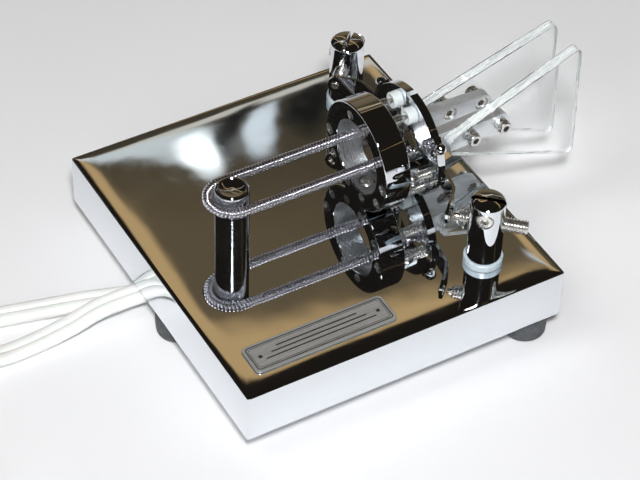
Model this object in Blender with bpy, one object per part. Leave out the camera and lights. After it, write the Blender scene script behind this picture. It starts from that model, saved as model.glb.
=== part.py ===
"""Double-lever touch paddle: two side levers on needle bearings, a contact post beside each, on a heavy base.

Metres, +Z up. The operator sits at -Y, the two cords leave at +Y. The origin is under the middle of
the object's footprint, on the surface it stands on. Key coordinates are millimetres from the centre of
the base's top face.
"""

import math

import bmesh
import bpy
from mathutils import Vector

MM = 0.001

# Where key coordinates lie in the object's frame.
BASE_CENTRE_Y = 15.967
BASE_TOP_Z = 24.0

# Base and feet.
BASE_WIDTH = 101.6
BASE_LENGTH = 95.25
BASE_HEIGHT = 16.5
FOOT_RADIUS = 6.35
FEET = {"foot_rear": (0.0, 41.2), "foot_front_left": (-43.9, -41.2), "foot_front_right": (43.9, -41.2)}

# Bearing ring, standing on a flat, with its axis along Y.
RING_RADIUS = 15.875
RING_BORE_RADIUS = 10.5
RING_AXIS_Z = 15.3
RING_REAR_Y = -12.65
RING_FRONT_Y = -20.4

# Levers: half-disc yokes ahead of the ring, bars and finger pieces ahead of the yokes.
YOKE_REAR_Y = -28.0
YOKE_FRONT_Y = -30.4
YOKE_INNER_X = 0.8
YOKE_BOTTOM_Z = 0.6
PIVOT_X = 3.75
PIVOT_Y = -26.5
BEARING_Z = {"upper": 27.15, "lower": 3.45}
NEEDLE_RADIUS = 1.3
TOE_IN = math.atan(0.039)
BAR_X = 3.95
BAR_THICKNESS = 3.0
BAR_HEIGHT = 6.35
BAR_END_Y = -57.0
FINGER_X = 7.1
FINGER_THICKNESS = 3.175
FINGER_OUTLINE = [(-36.2, 17.4), (-78.5, 32.8), (-79.6, -6.1), (-37.2, 12.3)]
SLEEVES_Y = {"front": -53.8, "rear": -43.9}
SLEEVE_Z = 15.6
SLEEVE_RADIUS = 1.9

# Adjusting screws between the ring and the yokes.
STOP_X, STOP_Z, STOP_RADIUS = 13.9, 14.4, 1.6
RETAINER_X, RETAINER_Z, RETAINER_RADIUS = 11.3, 7.6, 1.42

# Contact arms, posts and screws.
ARM_Z = (11.0, 17.2)
ARM_THICKNESS = 0.8
POST_X, POST_Y = 36.3, -31.0
POST_RADIUS = 4.76
POST_TOP_Z = 21.8
INSULATOR_HEIGHT = 2.24
SCREW_Z = 14.0
SCREW_RADIUS = 2.085
SCREW_PLAN = Vector((0.673, -0.739, 0.0)).normalized()
SCREW_OUT = 11.0
SCREW_IN = 7.35
TIP_IN = 8.85
PINCH_Z = 17.8

# Spring post and spring.
SPRING_POST_Y = 24.8
SPRING_Z = 17.3
SPRING_RADIUS = 1.5
SPRING_LOOP_RADIUS = 6.5
SPRING_END_Y = -27.3

# Cords: flat, two conductors each, then a coil each.
CORD_WIDTH = 6.6
CORD_THICKNESS = 3.3
TABLE_Z = -BASE_TOP_Z
COIL_CENTRE = (-10.0, 153.0)
COIL_INNER_RADIUS = 26.4
COIL_OUTER_RADIUS = 39.6

SIDES = {"left": -1, "right": 1}

for old in list(bpy.data.objects):
    bpy.data.objects.remove(old)


def make_material(name, color, metallic, roughness, transmission=0.0):
    material = bpy.data.materials.new(name)
    material.use_nodes = True
    shader = material.node_tree.nodes["Principled BSDF"]
    shader.inputs["Base Color"].default_value = (*color, 1.0)
    shader.inputs["Metallic"].default_value = metallic
    shader.inputs["Roughness"].default_value = roughness
    shader.inputs["Transmission Weight"].default_value = transmission
    material.diffuse_color = (*color, 1.0)
    return material


LOOKS = {
    "chrome": ((0.62, 0.63, 0.65), 1.0, 0.06),
    "steel": ((0.55, 0.55, 0.54), 1.0, 0.3),
    "nickel": ((0.66, 0.67, 0.68), 1.0, 0.35),
    "spring_steel": ((0.7, 0.7, 0.72), 1.0, 0.15),
    "silver": ((0.85, 0.84, 0.8), 1.0, 0.25),
    "white_nylon": ((0.86, 0.88, 0.87), 0.0, 0.5),
    "clear_acrylic": ((0.95, 0.97, 0.97), 0.0, 0.05, 0.9),
    "insulator": ((0.6, 0.72, 0.82), 0.0, 0.3),
    "rubber": ((0.07, 0.07, 0.07), 0.0, 0.8),
    "plate": ((0.72, 0.72, 0.71), 1.0, 0.4),
    "cord_white": ((0.8, 0.81, 0.79), 0.0, 0.5),
    "plug_black": ((0.03, 0.03, 0.03), 0.0, 0.5),
}


def key(x, y, z):
    """A point in key coordinates, in the object's frame."""
    return Vector((x, y + BASE_CENTRE_Y, z + BASE_TOP_Z)) * MM


def add(name, bm, look=None, at=(0.0, 0.0, 0.0), direction=None, turn=0.0, sharp=35.0):
    """A named object from a bmesh in millimetres, with its local Z along direction, or turned about Z."""
    bmesh.ops.remove_doubles(bm, verts=bm.verts, dist=0.001)
    bmesh.ops.recalc_face_normals(bm, faces=bm.faces)
    bmesh.ops.scale(bm, vec=(MM, MM, MM), verts=bm.verts)
    mesh = bpy.data.meshes.new(name)
    bm.to_mesh(mesh)
    bm.free()
    mesh.shade_smooth()
    mesh.set_sharp_from_angle(angle=math.radians(sharp))
    thing = bpy.data.objects.new(name, mesh)
    bpy.context.collection.objects.link(thing)
    thing.location = key(*at)
    if direction is not None:
        thing.rotation_euler = Vector((0, 0, 1)).rotation_difference(Vector(direction)).to_euler()
    else:
        thing.rotation_euler = (0.0, 0.0, turn)
    if look is None:
        thing.hide_render = True
        thing.display_type = "WIRE"
    else:
        mesh.materials.append(make_material(name, *LOOKS[look]))
    return thing


def add_lathe(bm, profile, segments, origin=(0, 0, 0), along=(0, 0, 1), closed=False):
    """Turns (radius, height) points about an axis. Ends at radius 0 close to a point, a closed profile to a ring."""
    spin = Vector((0, 0, 1)).rotation_difference(Vector(along)).to_matrix()
    rings = []
    for radius, height in profile:
        count = segments if radius > 0 else 1
        ring = []
        for i in range(count):
            angle = 2 * math.pi * (i + 0.5) / segments
            point = Vector((radius * math.cos(angle), radius * math.sin(angle), height))
            ring.append(bm.verts.new(spin @ point + Vector(origin)))
        rings.append(ring)
    pairs = list(zip(rings, rings[1:]))
    if closed:
        pairs.append((rings[-1], rings[0]))
    for a, b in pairs:
        for i in range(segments):
            j = (i + 1) % segments
            corners = [a[i % len(a)], a[j % len(a)], b[j % len(b)], b[i % len(b)]]
            corners = list(dict.fromkeys(corners))
            if len(corners) > 2:
                bm.faces.new(corners)
    if not closed:
        for ring in (rings[0], rings[-1]):
            if len(ring) > 1:
                bm.faces.new(ring)


def lathe(name, profile, look, at, direction=(0, 0, 1), segments=16, closed=False):
    bm = bmesh.new()
    add_lathe(bm, profile, segments, closed=closed)
    return add(name, bm, look, at, direction)


def add_prism(bm, outline, low, high, axes="XYZ"):
    """Extrudes a 2-D outline from low to high. axes names the outline's two directions, then the depth's."""
    index = ["XYZ".index(letter) for letter in axes]
    layers = []
    for depth in (low, high):
        layer = []
        for a, b in outline:
            point = [0.0, 0.0, 0.0]
            point[index[0]], point[index[1]], point[index[2]] = a, b, depth
            layer.append(bm.verts.new(point))
        layers.append(layer)
    bm.faces.new(layers[0])
    bm.faces.new(layers[1])
    for i in range(len(outline)):
        j = (i + 1) % len(outline)
        bm.faces.new((layers[0][i], layers[0][j], layers[1][j], layers[1][i]))


def rounded(outline, radius, steps=3):
    """The outline with its corners rounded."""
    made = []
    for i, corner in enumerate(outline):
        here = Vector(corner)
        before = (Vector(outline[i - 1]) - here).normalized()
        after = (Vector(outline[(i + 1) % len(outline)]) - here).normalized()
        half = before.angle(after) / 2
        centre = here + (before + after).normalized() * radius / math.sin(half)
        start = here + before * radius / math.tan(half) - centre
        end = here + after * radius / math.tan(half) - centre
        for k in range(steps + 1):
            blend = start.lerp(end, k / steps).normalized() * radius
            made.append(tuple(centre + blend))
    return made


def bevel(thing, width, segments=1, angle=35.0):
    made = thing.modifiers.new("edges", "BEVEL")
    made.width = width * MM
    made.segments = segments
    made.limit_method = "ANGLE"
    made.angle_limit = math.radians(angle)
    return thing


def combine(thing, tool, how="DIFFERENCE"):
    made = thing.modifiers.new(tool.name, "BOOLEAN")
    made.operation = how
    made.solver = "EXACT"
    made.object = tool
    return thing


def drill(name, holes, segments=16):
    """One cutter from (radius, start, end) cylinders, in key coordinates."""
    bm = bmesh.new()
    for radius, start, end in holes:
        along = Vector(end) - Vector(start)
        add_lathe(bm, [(radius, 0.0), (radius, along.length)], segments, start, along.normalized())
    return add(name, bm)


def group(name, at, parts):
    """An empty on a joint's axis, with the parts that move with it."""
    pivot = bpy.data.objects.new(name, None)
    pivot.location = key(*at)
    pivot.empty_display_size = 0.01
    bpy.context.collection.objects.link(pivot)
    bpy.context.view_layer.update()
    for thing in parts:
        thing.parent = pivot
        thing.matrix_parent_inverse = pivot.matrix_world.inverted()
    return pivot


def smooth_path(points, step):
    """Points about step apart on a Catmull-Rom curve through the given points."""
    points = [Vector(p) for p in points]
    ends = [points[0] * 2 - points[1], *points, points[-1] * 2 - points[-2]]
    made = [points[0]]
    for a, b, c, d in zip(ends, ends[1:], ends[2:], ends[3:]):
        count = max(1, round((c - b).length / step))
        for k in range(1, count + 1):
            t = k / count
            made.append(
                0.5 * (2 * b + (c - a) * t + (2 * a - 5 * b + 4 * c - d) * t**2 + (3 * b - a - 3 * c + d) * t**3)
            )
    return made


def sweep(name, path, section, look, ups):
    """A closed tube of the given section along a path, with the section's height along ups."""
    bm = bmesh.new()
    rings = []
    for i, point in enumerate(path):
        along = (path[min(i + 1, len(path) - 1)] - path[max(i - 1, 0)]).normalized()
        up = ups[i] - along * ups[i].dot(along)
        up.normalize()
        across = along.cross(up)
        rings.append([bm.verts.new(point + across * a + up * b) for a, b in section])
    for a, b in zip(rings, rings[1:]):
        for i in range(len(section)):
            j = (i + 1) % len(section)
            bm.faces.new((a[i], a[j], b[j], b[i]))
    bm.faces.new(rings[0])
    bm.faces.new(rings[-1])
    return add(name, bm, look)


def circle(radius, count):
    return [
        (radius * math.cos(2 * math.pi * i / count), radius * math.sin(2 * math.pi * i / count))
        for i in range(count)
    ]


def mirrored(points, side):
    return [(side * x, *rest) for x, *rest in points]


# Base, feet and what stands on the base.
def make_base():
    half_width, half_length = BASE_WIDTH / 2, BASE_LENGTH / 2
    bm = bmesh.new()
    chamfer = 1.3
    levels = ((-BASE_HEIGHT, chamfer), (chamfer - BASE_HEIGHT, 0.0), (-0.4, 0.0), (0.0, 0.4))
    rings = []
    for z, inset in levels:
        x, y = half_width - inset, half_length - inset
        rings.append([bm.verts.new(p) for p in ((-x, -y, z), (x, -y, z), (x, y, z), (-x, y, z))])
    for a, b in zip(rings, rings[1:]):
        for i in range(4):
            bm.faces.new((a[i], a[(i + 1) % 4], b[(i + 1) % 4], b[i]))
    bm.faces.new(rings[0])
    bm.faces.new(rings[-1])
    base = add("base_plate", bm, "chrome")
    below, above = -BASE_HEIGHT - 2, 2.0
    ring_y = (RING_REAR_Y + RING_FRONT_Y) / 2
    holes = [
        (2.4, (0, ring_y, below), (0, ring_y, above)),
        (1.9, (0, SPRING_POST_Y, -11.0), (0, SPRING_POST_Y, above)),
    ]
    holes += [(2.9, (s * POST_X, POST_Y, below), (s * POST_X, POST_Y, above)) for s in SIDES.values()]
    combine(base, drill("base_holes", holes))

    for name, (x, y) in FEET.items():
        profile = [(0, -7.5), (5.3, -7.5), (5.9, -6.9), (FOOT_RADIUS, -0.6), (6.1, 0), (0, 0)]
        lathe(name, profile, "rubber", (x, y, -BASE_HEIGHT), segments=20)

    # The ring's screw, with its head beneath the base.
    screw = [(0, -3.0), (1.2, -3.0), (3.2, -2.2), (3.5, -1.4), (3.5, 0), (2.08, 0), (2.08, 21.6), (0, 21.6)]
    lathe("ring_screw", screw, "steel", (0, ring_y, -BASE_HEIGHT))
    corners = [(-44.6, 41.4), (-35.0, 41.4), (-35.0, 0.0), (-44.6, 0.0)]
    bm = bmesh.new()
    add_prism(bm, rounded(corners, 1.2, 3), 0.0, 0.6)
    bevel(add("nameplate", bm, "plate"), 0.15)


def make_spring():
    # The post has its own stud, screwed into the base.
    post = [
        (0, -10.0),
        (1.3, -10.0),
        (1.7, -9.6),
        (1.7, 0),
        (4.4, 0),
        (4.7, 0.3),
        (4.7, 20.0),
        (4.1, 20.8),
        (3.2, 20.6),
        (0, 20.0),
    ]
    lathe("spring_post", post, "chrome", (0, SPRING_POST_Y, 0), segments=20)
    route = [Vector((SPRING_LOOP_RADIUS, y, SPRING_Z)) for y in (SPRING_END_Y, 0.0, SPRING_POST_Y - 2.0)]
    legs = len(route)
    for k in range(13):
        angle = math.pi * k / 12
        route.append(
            Vector(
                (
                    SPRING_LOOP_RADIUS * math.cos(angle),
                    SPRING_POST_Y + SPRING_LOOP_RADIUS * math.sin(angle),
                    SPRING_Z,
                )
            )
        )
    route += [Vector((-p.x, p.y, p.z)) for p in reversed(route[:legs])]
    ups = [Vector((0, 0, 1))] * len(route)
    sweep("spring", route, circle(SPRING_RADIUS, 8), "spring_steel", ups)


def make_ring():
    low, high = RING_FRONT_Y, RING_REAR_Y
    chamfer, bore_chamfer = 0.35, 0.3
    profile = [
        (RING_BORE_RADIUS, low + bore_chamfer),
        (RING_BORE_RADIUS, high - bore_chamfer),
        (RING_BORE_RADIUS + bore_chamfer, high),
        (RING_RADIUS - chamfer, high),
        (RING_RADIUS, high - chamfer),
        (RING_RADIUS, low + chamfer),
        (RING_RADIUS - chamfer, low),
        (RING_BORE_RADIUS + bore_chamfer, low),
    ]
    bm = bmesh.new()
    add_lathe(bm, profile, 44, (0, 0, RING_AXIS_Z), (0, 1, 0), closed=True)
    for vert in bm.verts:
        if vert.co.z < 0:
            shrink = RING_AXIS_Z / (RING_AXIS_Z - vert.co.z)
            vert.co.x *= shrink
            vert.co.z = 0.0
    ring = add("bearing_ring", bm, "chrome")
    holes = [(2.25, (0, (low + high) / 2, -2), (0, (low + high) / 2, 8))]
    for side in SIDES.values():
        for x, z, radius in (
            (PIVOT_X, BEARING_Z["upper"], NEEDLE_RADIUS + 0.15),
            (PIVOT_X, BEARING_Z["lower"], NEEDLE_RADIUS + 0.15),
            (STOP_X, STOP_Z, STOP_RADIUS + 0.12),
            (RETAINER_X, RETAINER_Z, RETAINER_RADIUS + 0.15),
        ):
            holes.append((radius, (side * x, low - 2, z), (side * x, high + 2, z)))
    combine(ring, drill("ring_holes", holes, 8))

    length = RING_REAR_Y - YOKE_REAR_Y
    for name, side in SIDES.items():
        for level, z in BEARING_Z.items():
            point = [(0, 0), (0.45, 0.9), (NEEDLE_RADIUS, 3.1), (NEEDLE_RADIUS, 13.65), (1.05, 13.95), (0, 13.95)]
            lathe(
                f"{name}_{level}_needle",
                point,
                "steel",
                (side * PIVOT_X, PIVOT_Y - 0.1, z),
                (0, 1, 0),
                8,
            )
        stop = [
            (0, 0.35),
            (1.1, 0.35),
            (STOP_RADIUS, 0.75),
            (STOP_RADIUS, 4.0),
            (2.1, 4.25),
            (2.2, 4.8),
            (2.2, 7.1),
            (2.0, length - 7.8),
            (STOP_RADIUS, length - 7.8),
            (STOP_RADIUS, length - 0.1),
            (0, length - 0.1),
        ]
        lathe(f"{name}_stop_screw", stop, "steel", (side * STOP_X, YOKE_REAR_Y, STOP_Z), (0, 1, 0), 8)
        retainer = [
            (0, 0.35),
            (1.1, 0.35),
            (RETAINER_RADIUS, 0.7),
            (RETAINER_RADIUS, length - 0.2),
            (0, length - 0.2),
        ]
        lathe(
            f"{name}_retaining_screw",
            retainer,
            "steel",
            (side * RETAINER_X, YOKE_REAR_Y, RETAINER_Z),
            (0, 1, 0),
            8,
        )


# Levers.
def make_yoke(name, side):
    outline = []
    inner = math.acos(YOKE_INNER_X / RING_RADIUS)
    low_angle = -math.asin((RING_AXIS_Z - YOKE_BOTTOM_Z) / RING_RADIUS)
    for k in range(25):
        angle = low_angle + (inner - low_angle) * k / 24
        outline.append((side * RING_RADIUS * math.cos(angle), RING_AXIS_Z + RING_RADIUS * math.sin(angle)))
    outline.append((side * YOKE_INNER_X, YOKE_BOTTOM_Z))
    bm = bmesh.new()
    add_prism(bm, outline, YOKE_FRONT_Y, YOKE_REAR_Y, "XZY")
    yoke = bevel(add(f"{name}_lever_yoke", bm, "chrome"), 0.25)
    holes = [
        (1.6, (side * PIVOT_X, YOKE_REAR_Y + 1, z), (side * PIVOT_X, YOKE_FRONT_Y + 0.7, z))
        for z in BEARING_Z.values()
    ]
    holes.append(
        (0.8, (side * 6.5, YOKE_REAR_Y + 1, SPRING_Z), (side * 6.5, YOKE_FRONT_Y - 1, SPRING_Z))
    )
    middle = (YOKE_REAR_Y + YOKE_FRONT_Y) / 2
    way = Vector((side * math.cos(math.radians(27.6)), 0, math.sin(math.radians(27.6))))
    axis_point = Vector((0, middle, RING_AXIS_Z))
    holes.append((0.75, tuple(axis_point + way * 11.5), tuple(axis_point + way * 18)))
    combine(yoke, drill(f"{name}_yoke_holes", holes, 12))

    screw = [
        (0, -4.0),
        (0.6, -4.0),
        (0.6, 0.95),
        (1.6, 0.95),
        (1.6, 1.6),
        (1.35, 2.35),
        (0.75, 2.85),
        (0, 3.0),
    ]
    screw_at = axis_point + way * RING_RADIUS
    arm_screw = lathe(f"{name}_arm_screw", screw, "steel", tuple(screw_at), tuple(way), 8)

    cups = []
    for level, z in BEARING_Z.items():
        cup = [
            (0, 1.25),
            (0.2, 1.25),
            (1.75, 2.95),
            (2.2, 2.95),
            (2.35, 2.75),
            (2.35, 0.05),
            (1.45, 0.05),
            (1.45, -1.5),
            (0, -1.5),
        ]
        at = (side * PIVOT_X, YOKE_REAR_Y, z)
        cups.append(lathe(f"{name}_{level}_bearing_cup", cup, "white_nylon", at, (0, 1, 0), 12))
    return [yoke, arm_screw, *cups]


def make_handle(name, side):
    """The bar, the finger piece and the sleeves that hold them together, toed in towards the front."""
    turn = -side * TOE_IN
    middle_z = RING_AXIS_Z
    half = BAR_HEIGHT / 2
    start_y, reference_y = YOKE_FRONT_Y - 0.15, -45.0
    outline = [(start_y - reference_y, middle_z - half)]
    for k in range(9):
        angle = -math.pi / 2 - math.pi * k / 8
        outline.append(
            (BAR_END_Y + half - reference_y + half * math.cos(angle), middle_z + half * math.sin(angle))
        )
    outline.append((start_y - reference_y, middle_z + half))
    bm = bmesh.new()
    add_prism(bm, outline, -BAR_THICKNESS / 2, BAR_THICKNESS / 2, "YZX")
    bar = add(f"{name}_lever_bar", bm, "nickel", (side * BAR_X, reference_y, 0), turn=turn)
    bevel(bar, 0.2)

    corners = [(y - reference_y, z) for y, z in FINGER_OUTLINE]
    bm = bmesh.new()
    add_prism(bm, rounded(corners, 1.5), -FINGER_THICKNESS / 2, FINGER_THICKNESS / 2, "YZX")
    finger = add(f"{name}_finger_piece", bm, "clear_acrylic", (side * FINGER_X, reference_y, 0), turn=turn)
    bevel(finger, 0.25)

    out = Vector((side * math.cos(TOE_IN), -math.sin(TOE_IN), 0.0))
    forward = Vector((-side * math.sin(TOE_IN), -math.cos(TOE_IN), 0.0))
    holes = []
    sleeves = []
    for place, y in SLEEVES_Y.items():
        along = (reference_y - y) / math.cos(TOE_IN)
        foot = Vector((side * BAR_X, reference_y, SLEEVE_Z)) + forward * along
        holes.append((SLEEVE_RADIUS + 0.12, tuple(foot - out * 4), tuple(foot + out * 8)))
        sleeve = [
            (0.9, -1.1),
            (SLEEVE_RADIUS - 0.2, -1.1),
            (SLEEVE_RADIUS, -0.9),
            (SLEEVE_RADIUS, 6.05),
            (SLEEVE_RADIUS - 0.2, 6.25),
            (0.9, 6.25),
        ]
        sleeves.append(
            lathe(f"{name}_{place}_finger_screw", sleeve, "steel", tuple(foot), tuple(out), 12, closed=True)
        )
    cutter = drill(f"{name}_sleeve_holes", holes, 12)
    combine(bar, cutter)
    combine(finger, cutter)
    return [bar, finger, *sleeves]


def make_arm(name, side):
    """A spring-like strip from the yoke's rim out to the contact screw, with its contact rivet."""
    start, bend, end = Vector((16.35, -29.7)), Vector((24.4, -28.45)), Vector((30.95, -21.9))
    half = ARM_THICKNESS / 2
    lanes = []
    for offset in (half, -half):
        lane = []
        first = (bend - start).normalized()
        second = (end - bend).normalized()
        middle = (first + second).normalized()
        shift = Vector((-middle.y, middle.x)) * offset / math.cos(first.angle(second) / 2)
        lane.append(start + Vector((-first.y, first.x)) * offset)
        lane.append(bend + shift)
        lane.append(end + Vector((-second.y, second.x)) * offset)
        lanes.append(lane)
    outline = [tuple(p) for p in lanes[0]] + [tuple(p) for p in reversed(lanes[1])]
    bm = bmesh.new()
    add_prism(bm, mirrored(outline, side), *ARM_Z)
    arm = add(f"{name}_contact_arm", bm, "chrome")

    # The tab that hugs the yoke's rim, up to the arm screw.
    tab = []
    inner, outer = RING_RADIUS + 0.1, RING_RADIUS + 0.9
    angles = [math.radians(-15.0 + 53.0 * k / 12) for k in range(13)]
    tab += [(inner * math.cos(a), RING_AXIS_Z + inner * math.sin(a)) for a in angles]
    tab += [(outer * math.cos(a), RING_AXIS_Z + outer * math.sin(a)) for a in reversed(angles)]
    bm = bmesh.new()
    add_prism(bm, mirrored(tab, side), YOKE_FRONT_Y + 0.1, YOKE_REAR_Y - 0.1, "XZY")
    combine(arm, add(f"{name}_arm_tab", bm), "UNION")

    middle_y = (YOKE_REAR_Y + YOKE_FRONT_Y) / 2
    way = Vector((side * math.cos(math.radians(27.6)), 0, math.sin(math.radians(27.6))))
    axis_point = Vector((0, middle_y, RING_AXIS_Z))
    screw_hole = (0.85, tuple(axis_point + way * 14.5), tuple(axis_point + way * 18.5))
    post = Vector((side * POST_X, POST_Y, SCREW_Z))
    inward = Vector((-side, 1.0, 0.0)).normalized()
    rivet_at = post - Vector((side * SCREW_PLAN.x, SCREW_PLAN.y, 0.0)) * 10.23
    rivet_hole = (0.9, tuple(rivet_at - inward * 2), tuple(rivet_at + inward * 2))
    combine(arm, drill(f"{name}_arm_holes", [screw_hole, rivet_hole], 12))

    rivet = [
        (0, -0.95),
        (0.9, -0.95),
        (1.25, -0.75),
        (1.4, -0.42),
        (0.75, -0.42),
        (0.75, 0.42),
        (1.2, 0.42),
        (1.1, 0.75),
        (0.6, 0.9),
        (0, 0.75),
    ]
    contact = lathe(f"{name}_arm_contact", rivet, "silver", tuple(rivet_at), tuple(inward), 8)
    return [arm, contact]


# Contact posts.
def make_post(name, side):
    outward = Vector((side * SCREW_PLAN.x, SCREW_PLAN.y, 0.0))
    pinch = Vector((-side * SCREW_PLAN.y, SCREW_PLAN.x, 0.0))
    centre = Vector((side * POST_X, POST_Y, SCREW_Z))
    height = POST_TOP_Z - INSULATOR_HEIGHT
    profile = [
        (1.75, 0),
        (4.5, 0),
        (POST_RADIUS, 0.25),
        (POST_RADIUS, height - 0.9),
        (4.45, height - 0.35),
        (3.8, height - 0.05),
        (0, height + 0.15),
        (0, 7.0),
        (1.75, 7.0),
    ]
    at = (side * POST_X, POST_Y, INSULATOR_HEIGHT)
    post = lathe(f"{name}_contact_post", profile, "chrome", at, segments=20, closed=True)

    # The saw slit down to the contact screw's bore, in the screw's plane.
    bm = bmesh.new()
    add_prism(bm, [(-8, -0.5), (8, -0.5), (8, 0.5), (-8, 0.5)], 11.0, 24.0)
    turn = math.atan2(outward.y, outward.x)
    combine(post, add(f"{name}_slit", bm, at=(side * POST_X, POST_Y, 0), turn=turn))
    bore = (2.2, tuple(centre - outward * 8), tuple(centre + outward * 8))
    level = Vector((side * POST_X, POST_Y, PINCH_Z))
    clear = (1.3, tuple(level - pinch * 3.3), tuple(level + pinch * 4))
    seat = (2.45, tuple(level + pinch * 2.4), tuple(level + pinch * 7))
    combine(post, drill(f"{name}_post_bore", [bore], 12))
    combine(post, drill(f"{name}_pinch_bore", [clear], 8))
    combine(post, drill(f"{name}_pinch_seat", [seat], 12))

    socket = 1.15
    head = [
        (0, -2.9),
        (1.05, -2.9),
        (1.05, 2.5),
        (2.2, 2.5),
        (2.2, 4.45),
        (2.0, 4.65),
        (socket, 4.65),
        (socket, 3.2),
        (0, 3.2),
    ]
    lathe(f"{name}_pinch_screw", head, "steel", tuple(level), tuple(pinch), 10)

    ring = [(1.75, INSULATOR_HEIGHT), (1.75, -2.5), (2.65, -2.5), (2.65, 0), (5.1, 0), (5.3, 0.2)]
    ring += [(5.3, INSULATOR_HEIGHT - 0.2), (5.1, INSULATOR_HEIGHT)]
    base_point = (side * POST_X, POST_Y, 0)
    lathe(f"{name}_post_insulator", ring, "insulator", base_point, segments=16, closed=True)
    below = (side * POST_X, POST_Y, -BASE_HEIGHT)
    washer = [(1.75, 0), (1.75, -0.8), (4.0, -0.8), (4.0, 0)]
    lathe(f"{name}_insulating_washer", washer, "insulator", below, segments=12, closed=True)
    screw = [(0, -3.2), (1.2, -3.2), (2.6, -2.6), (2.8, -1.9), (2.8, -0.8), (1.45, -0.8), (1.45, 25.0), (0, 25.0)]
    lathe(f"{name}_post_screw", screw, "steel", below, segments=8)

    rod = [
        (0, -SCREW_IN),
        (1.7, -SCREW_IN),
        (SCREW_RADIUS, -SCREW_IN + 0.4),
        (SCREW_RADIUS, SCREW_OUT - 0.35),
        (1.75, SCREW_OUT),
        (0.95, SCREW_OUT),
        (0.95, SCREW_OUT - 2.2),
        (0, SCREW_OUT - 2.2),
    ]
    screw = lathe(f"{name}_contact_screw", rod, "steel", tuple(centre), tuple(outward), 12)
    tip = [(0, -TIP_IN), (0.7, -TIP_IN), (1.0, -TIP_IN + 0.3), (1.0, -SCREW_IN - 0.02), (0, -SCREW_IN - 0.02)]
    tip = lathe(f"{name}_contact_tip", tip, "silver", tuple(centre), tuple(outward), 8)
    group(f"{name}_contact_axis", tuple(centre), [screw, tip])


# Cords beneath and behind the base.
def flat_section():
    r = CORD_THICKNESS / 2
    reach = CORD_WIDTH / 2 - r
    made = []
    for middle, first in ((reach, -90), (-reach, 90)):
        for k in range(4):
            angle = math.radians(first + 60 * k)
            made.append((middle + r * math.cos(angle), r * math.sin(angle)))
    return made


def make_cords():
    clip = [
        (4.9, -16.5),
        (6.0, -16.5),
        (6.0, -20.7),
        (20.3, -20.7),
        (20.3, -16.5),
        (30.0, -16.5),
        (30.0, -18.0),
        (21.5, -18.0),
        (21.5, -21.9),
        (4.9, -21.9),
    ]
    bm = bmesh.new()
    add_prism(bm, clip, 26.4, 31.4, "XZY")
    bevel(add("cord_clip", bm, "white_nylon"), 0.25)

    lie = TABLE_Z + CORD_THICKNESS / 2 + 0.05
    stand = TABLE_Z + CORD_WIDTH / 2 + 0.05
    upper = stand + CORD_WIDTH + 0.3
    routes = {
        "left_cord": [
            (9.7, 26.0, -18.45),
            (9.7, 34.0, -18.45),
            (10.7, 40.5, -18.45),
            (11.8, 47.0, -18.5),
            (12.2, 58.7, -18.9),
            (12.0, 67.0, -20.9),
            (11.8, 77.0, lie),
            (11.6, 88.0, lie + 0.1),
            (11.3, 99.0, lie + 4.5),
            (12.6, 108.5, upper - 0.8),
            (16.4, 117.4, upper),
        ],
        "right_cord": [
            (16.8, 26.0, -18.45),
            (16.8, 31.8, -18.5),
            (17.2, 37.0, -20.6),
            (16.9, 41.8, -22.1),
            (15.6, 47.0, lie),
            (19.1, 58.3, lie),
            (21.8, 69.0, lie),
            (25.0, 82.3, lie),
            (27.3, 96.0, lie + 0.6),
            (28.1, 112.0, stand - 0.3),
            (27.9, 122.0, stand),
            (27.8, 131.5, stand),
        ],
    }
    levels = {"left": stand + CORD_WIDTH + 0.3, "right": stand}
    for name, side in SIDES.items():
        path = smooth_path(routes[f"{name}_cord"], 6.0)
        ups = []
        for point in path:
            # The cord lies flat, then turns onto its edge before it joins the coil.
            share = min(1.0, max(0.0, (point.y - 86.0) / 24.0))
            angle = math.pi / 2 * share * share * (3 - 2 * share)
            centre = Vector((COIL_CENTRE[0], COIL_CENTRE[1], point.z))
            sideways = (point - centre).normalized() if share > 0 else Vector((1, 0, 0))
            ups.append(Vector((0, 0, math.cos(angle))) + sideways * math.sin(angle))
        sweep(f"{name}_cord", path, flat_section(), "cord_white", ups)
        low = levels[name] - CORD_WIDTH / 2
        inner, outer = COIL_INNER_RADIUS, COIL_OUTER_RADIUS
        profile = [(inner, low), (outer, low), (outer, low + CORD_WIDTH), (inner, low + CORD_WIDTH)]
        lathe(f"{name}_cord_coil", profile, "cord_white", (*COIL_CENTRE, 0), segments=32, closed=True)
        plug = [
            (0, -23.5),
            (2.0, -23.5),
            (2.6, -15.0),
            (4.3, -14.0),
            (4.5, 7.5),
            (3.8, 8.5),
            (1.75, 8.6),
            (1.75, 20.0),
            (1.3, 20.8),
            (1.7, 21.8),
            (0.8, 23.4),
            (0, 23.6),
        ]
        at = (COIL_CENTRE[0], COIL_CENTRE[1] + side * 31.5, levels["left"] + CORD_WIDTH / 2 + 4.8)
        lathe(f"{name}_cord_plug", plug, "plug_black", at, (-1, 0, 0), 10)

    # Inner leads from the cords' ends to the posts' screws.
    depth = -BASE_HEIGHT - 1.9
    leads = {
        "left_inner_lead": [(9.0, 25.6), (6.0, 18.0), (-6.0, 2.0), (-22.0, -14.0), (-33.9, -28.7)],
        "right_inner_lead": [(17.5, 25.6), (20.0, 18.0), (26.0, 2.0), (32.0, -14.0), (35.4, -27.7)],
    }
    for name, points in leads.items():
        path = smooth_path([(x, y, depth) for x, y in points], 7.0)
        sweep(name, path, circle(0.8, 6), "plug_black", [Vector((0, 0, 1))] * len(path))


make_base()
make_spring()
make_ring()
for side_name, side_sign in SIDES.items():
    moving = make_yoke(side_name, side_sign)
    moving += make_handle(side_name, side_sign)
    moving += make_arm(side_name, side_sign)
    group(f"{side_name}_lever_axis", (side_sign * PIVOT_X, PIVOT_Y, RING_AXIS_Z), moving)
    make_post(side_name, side_sign)
make_cords()
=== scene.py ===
import math

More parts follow.
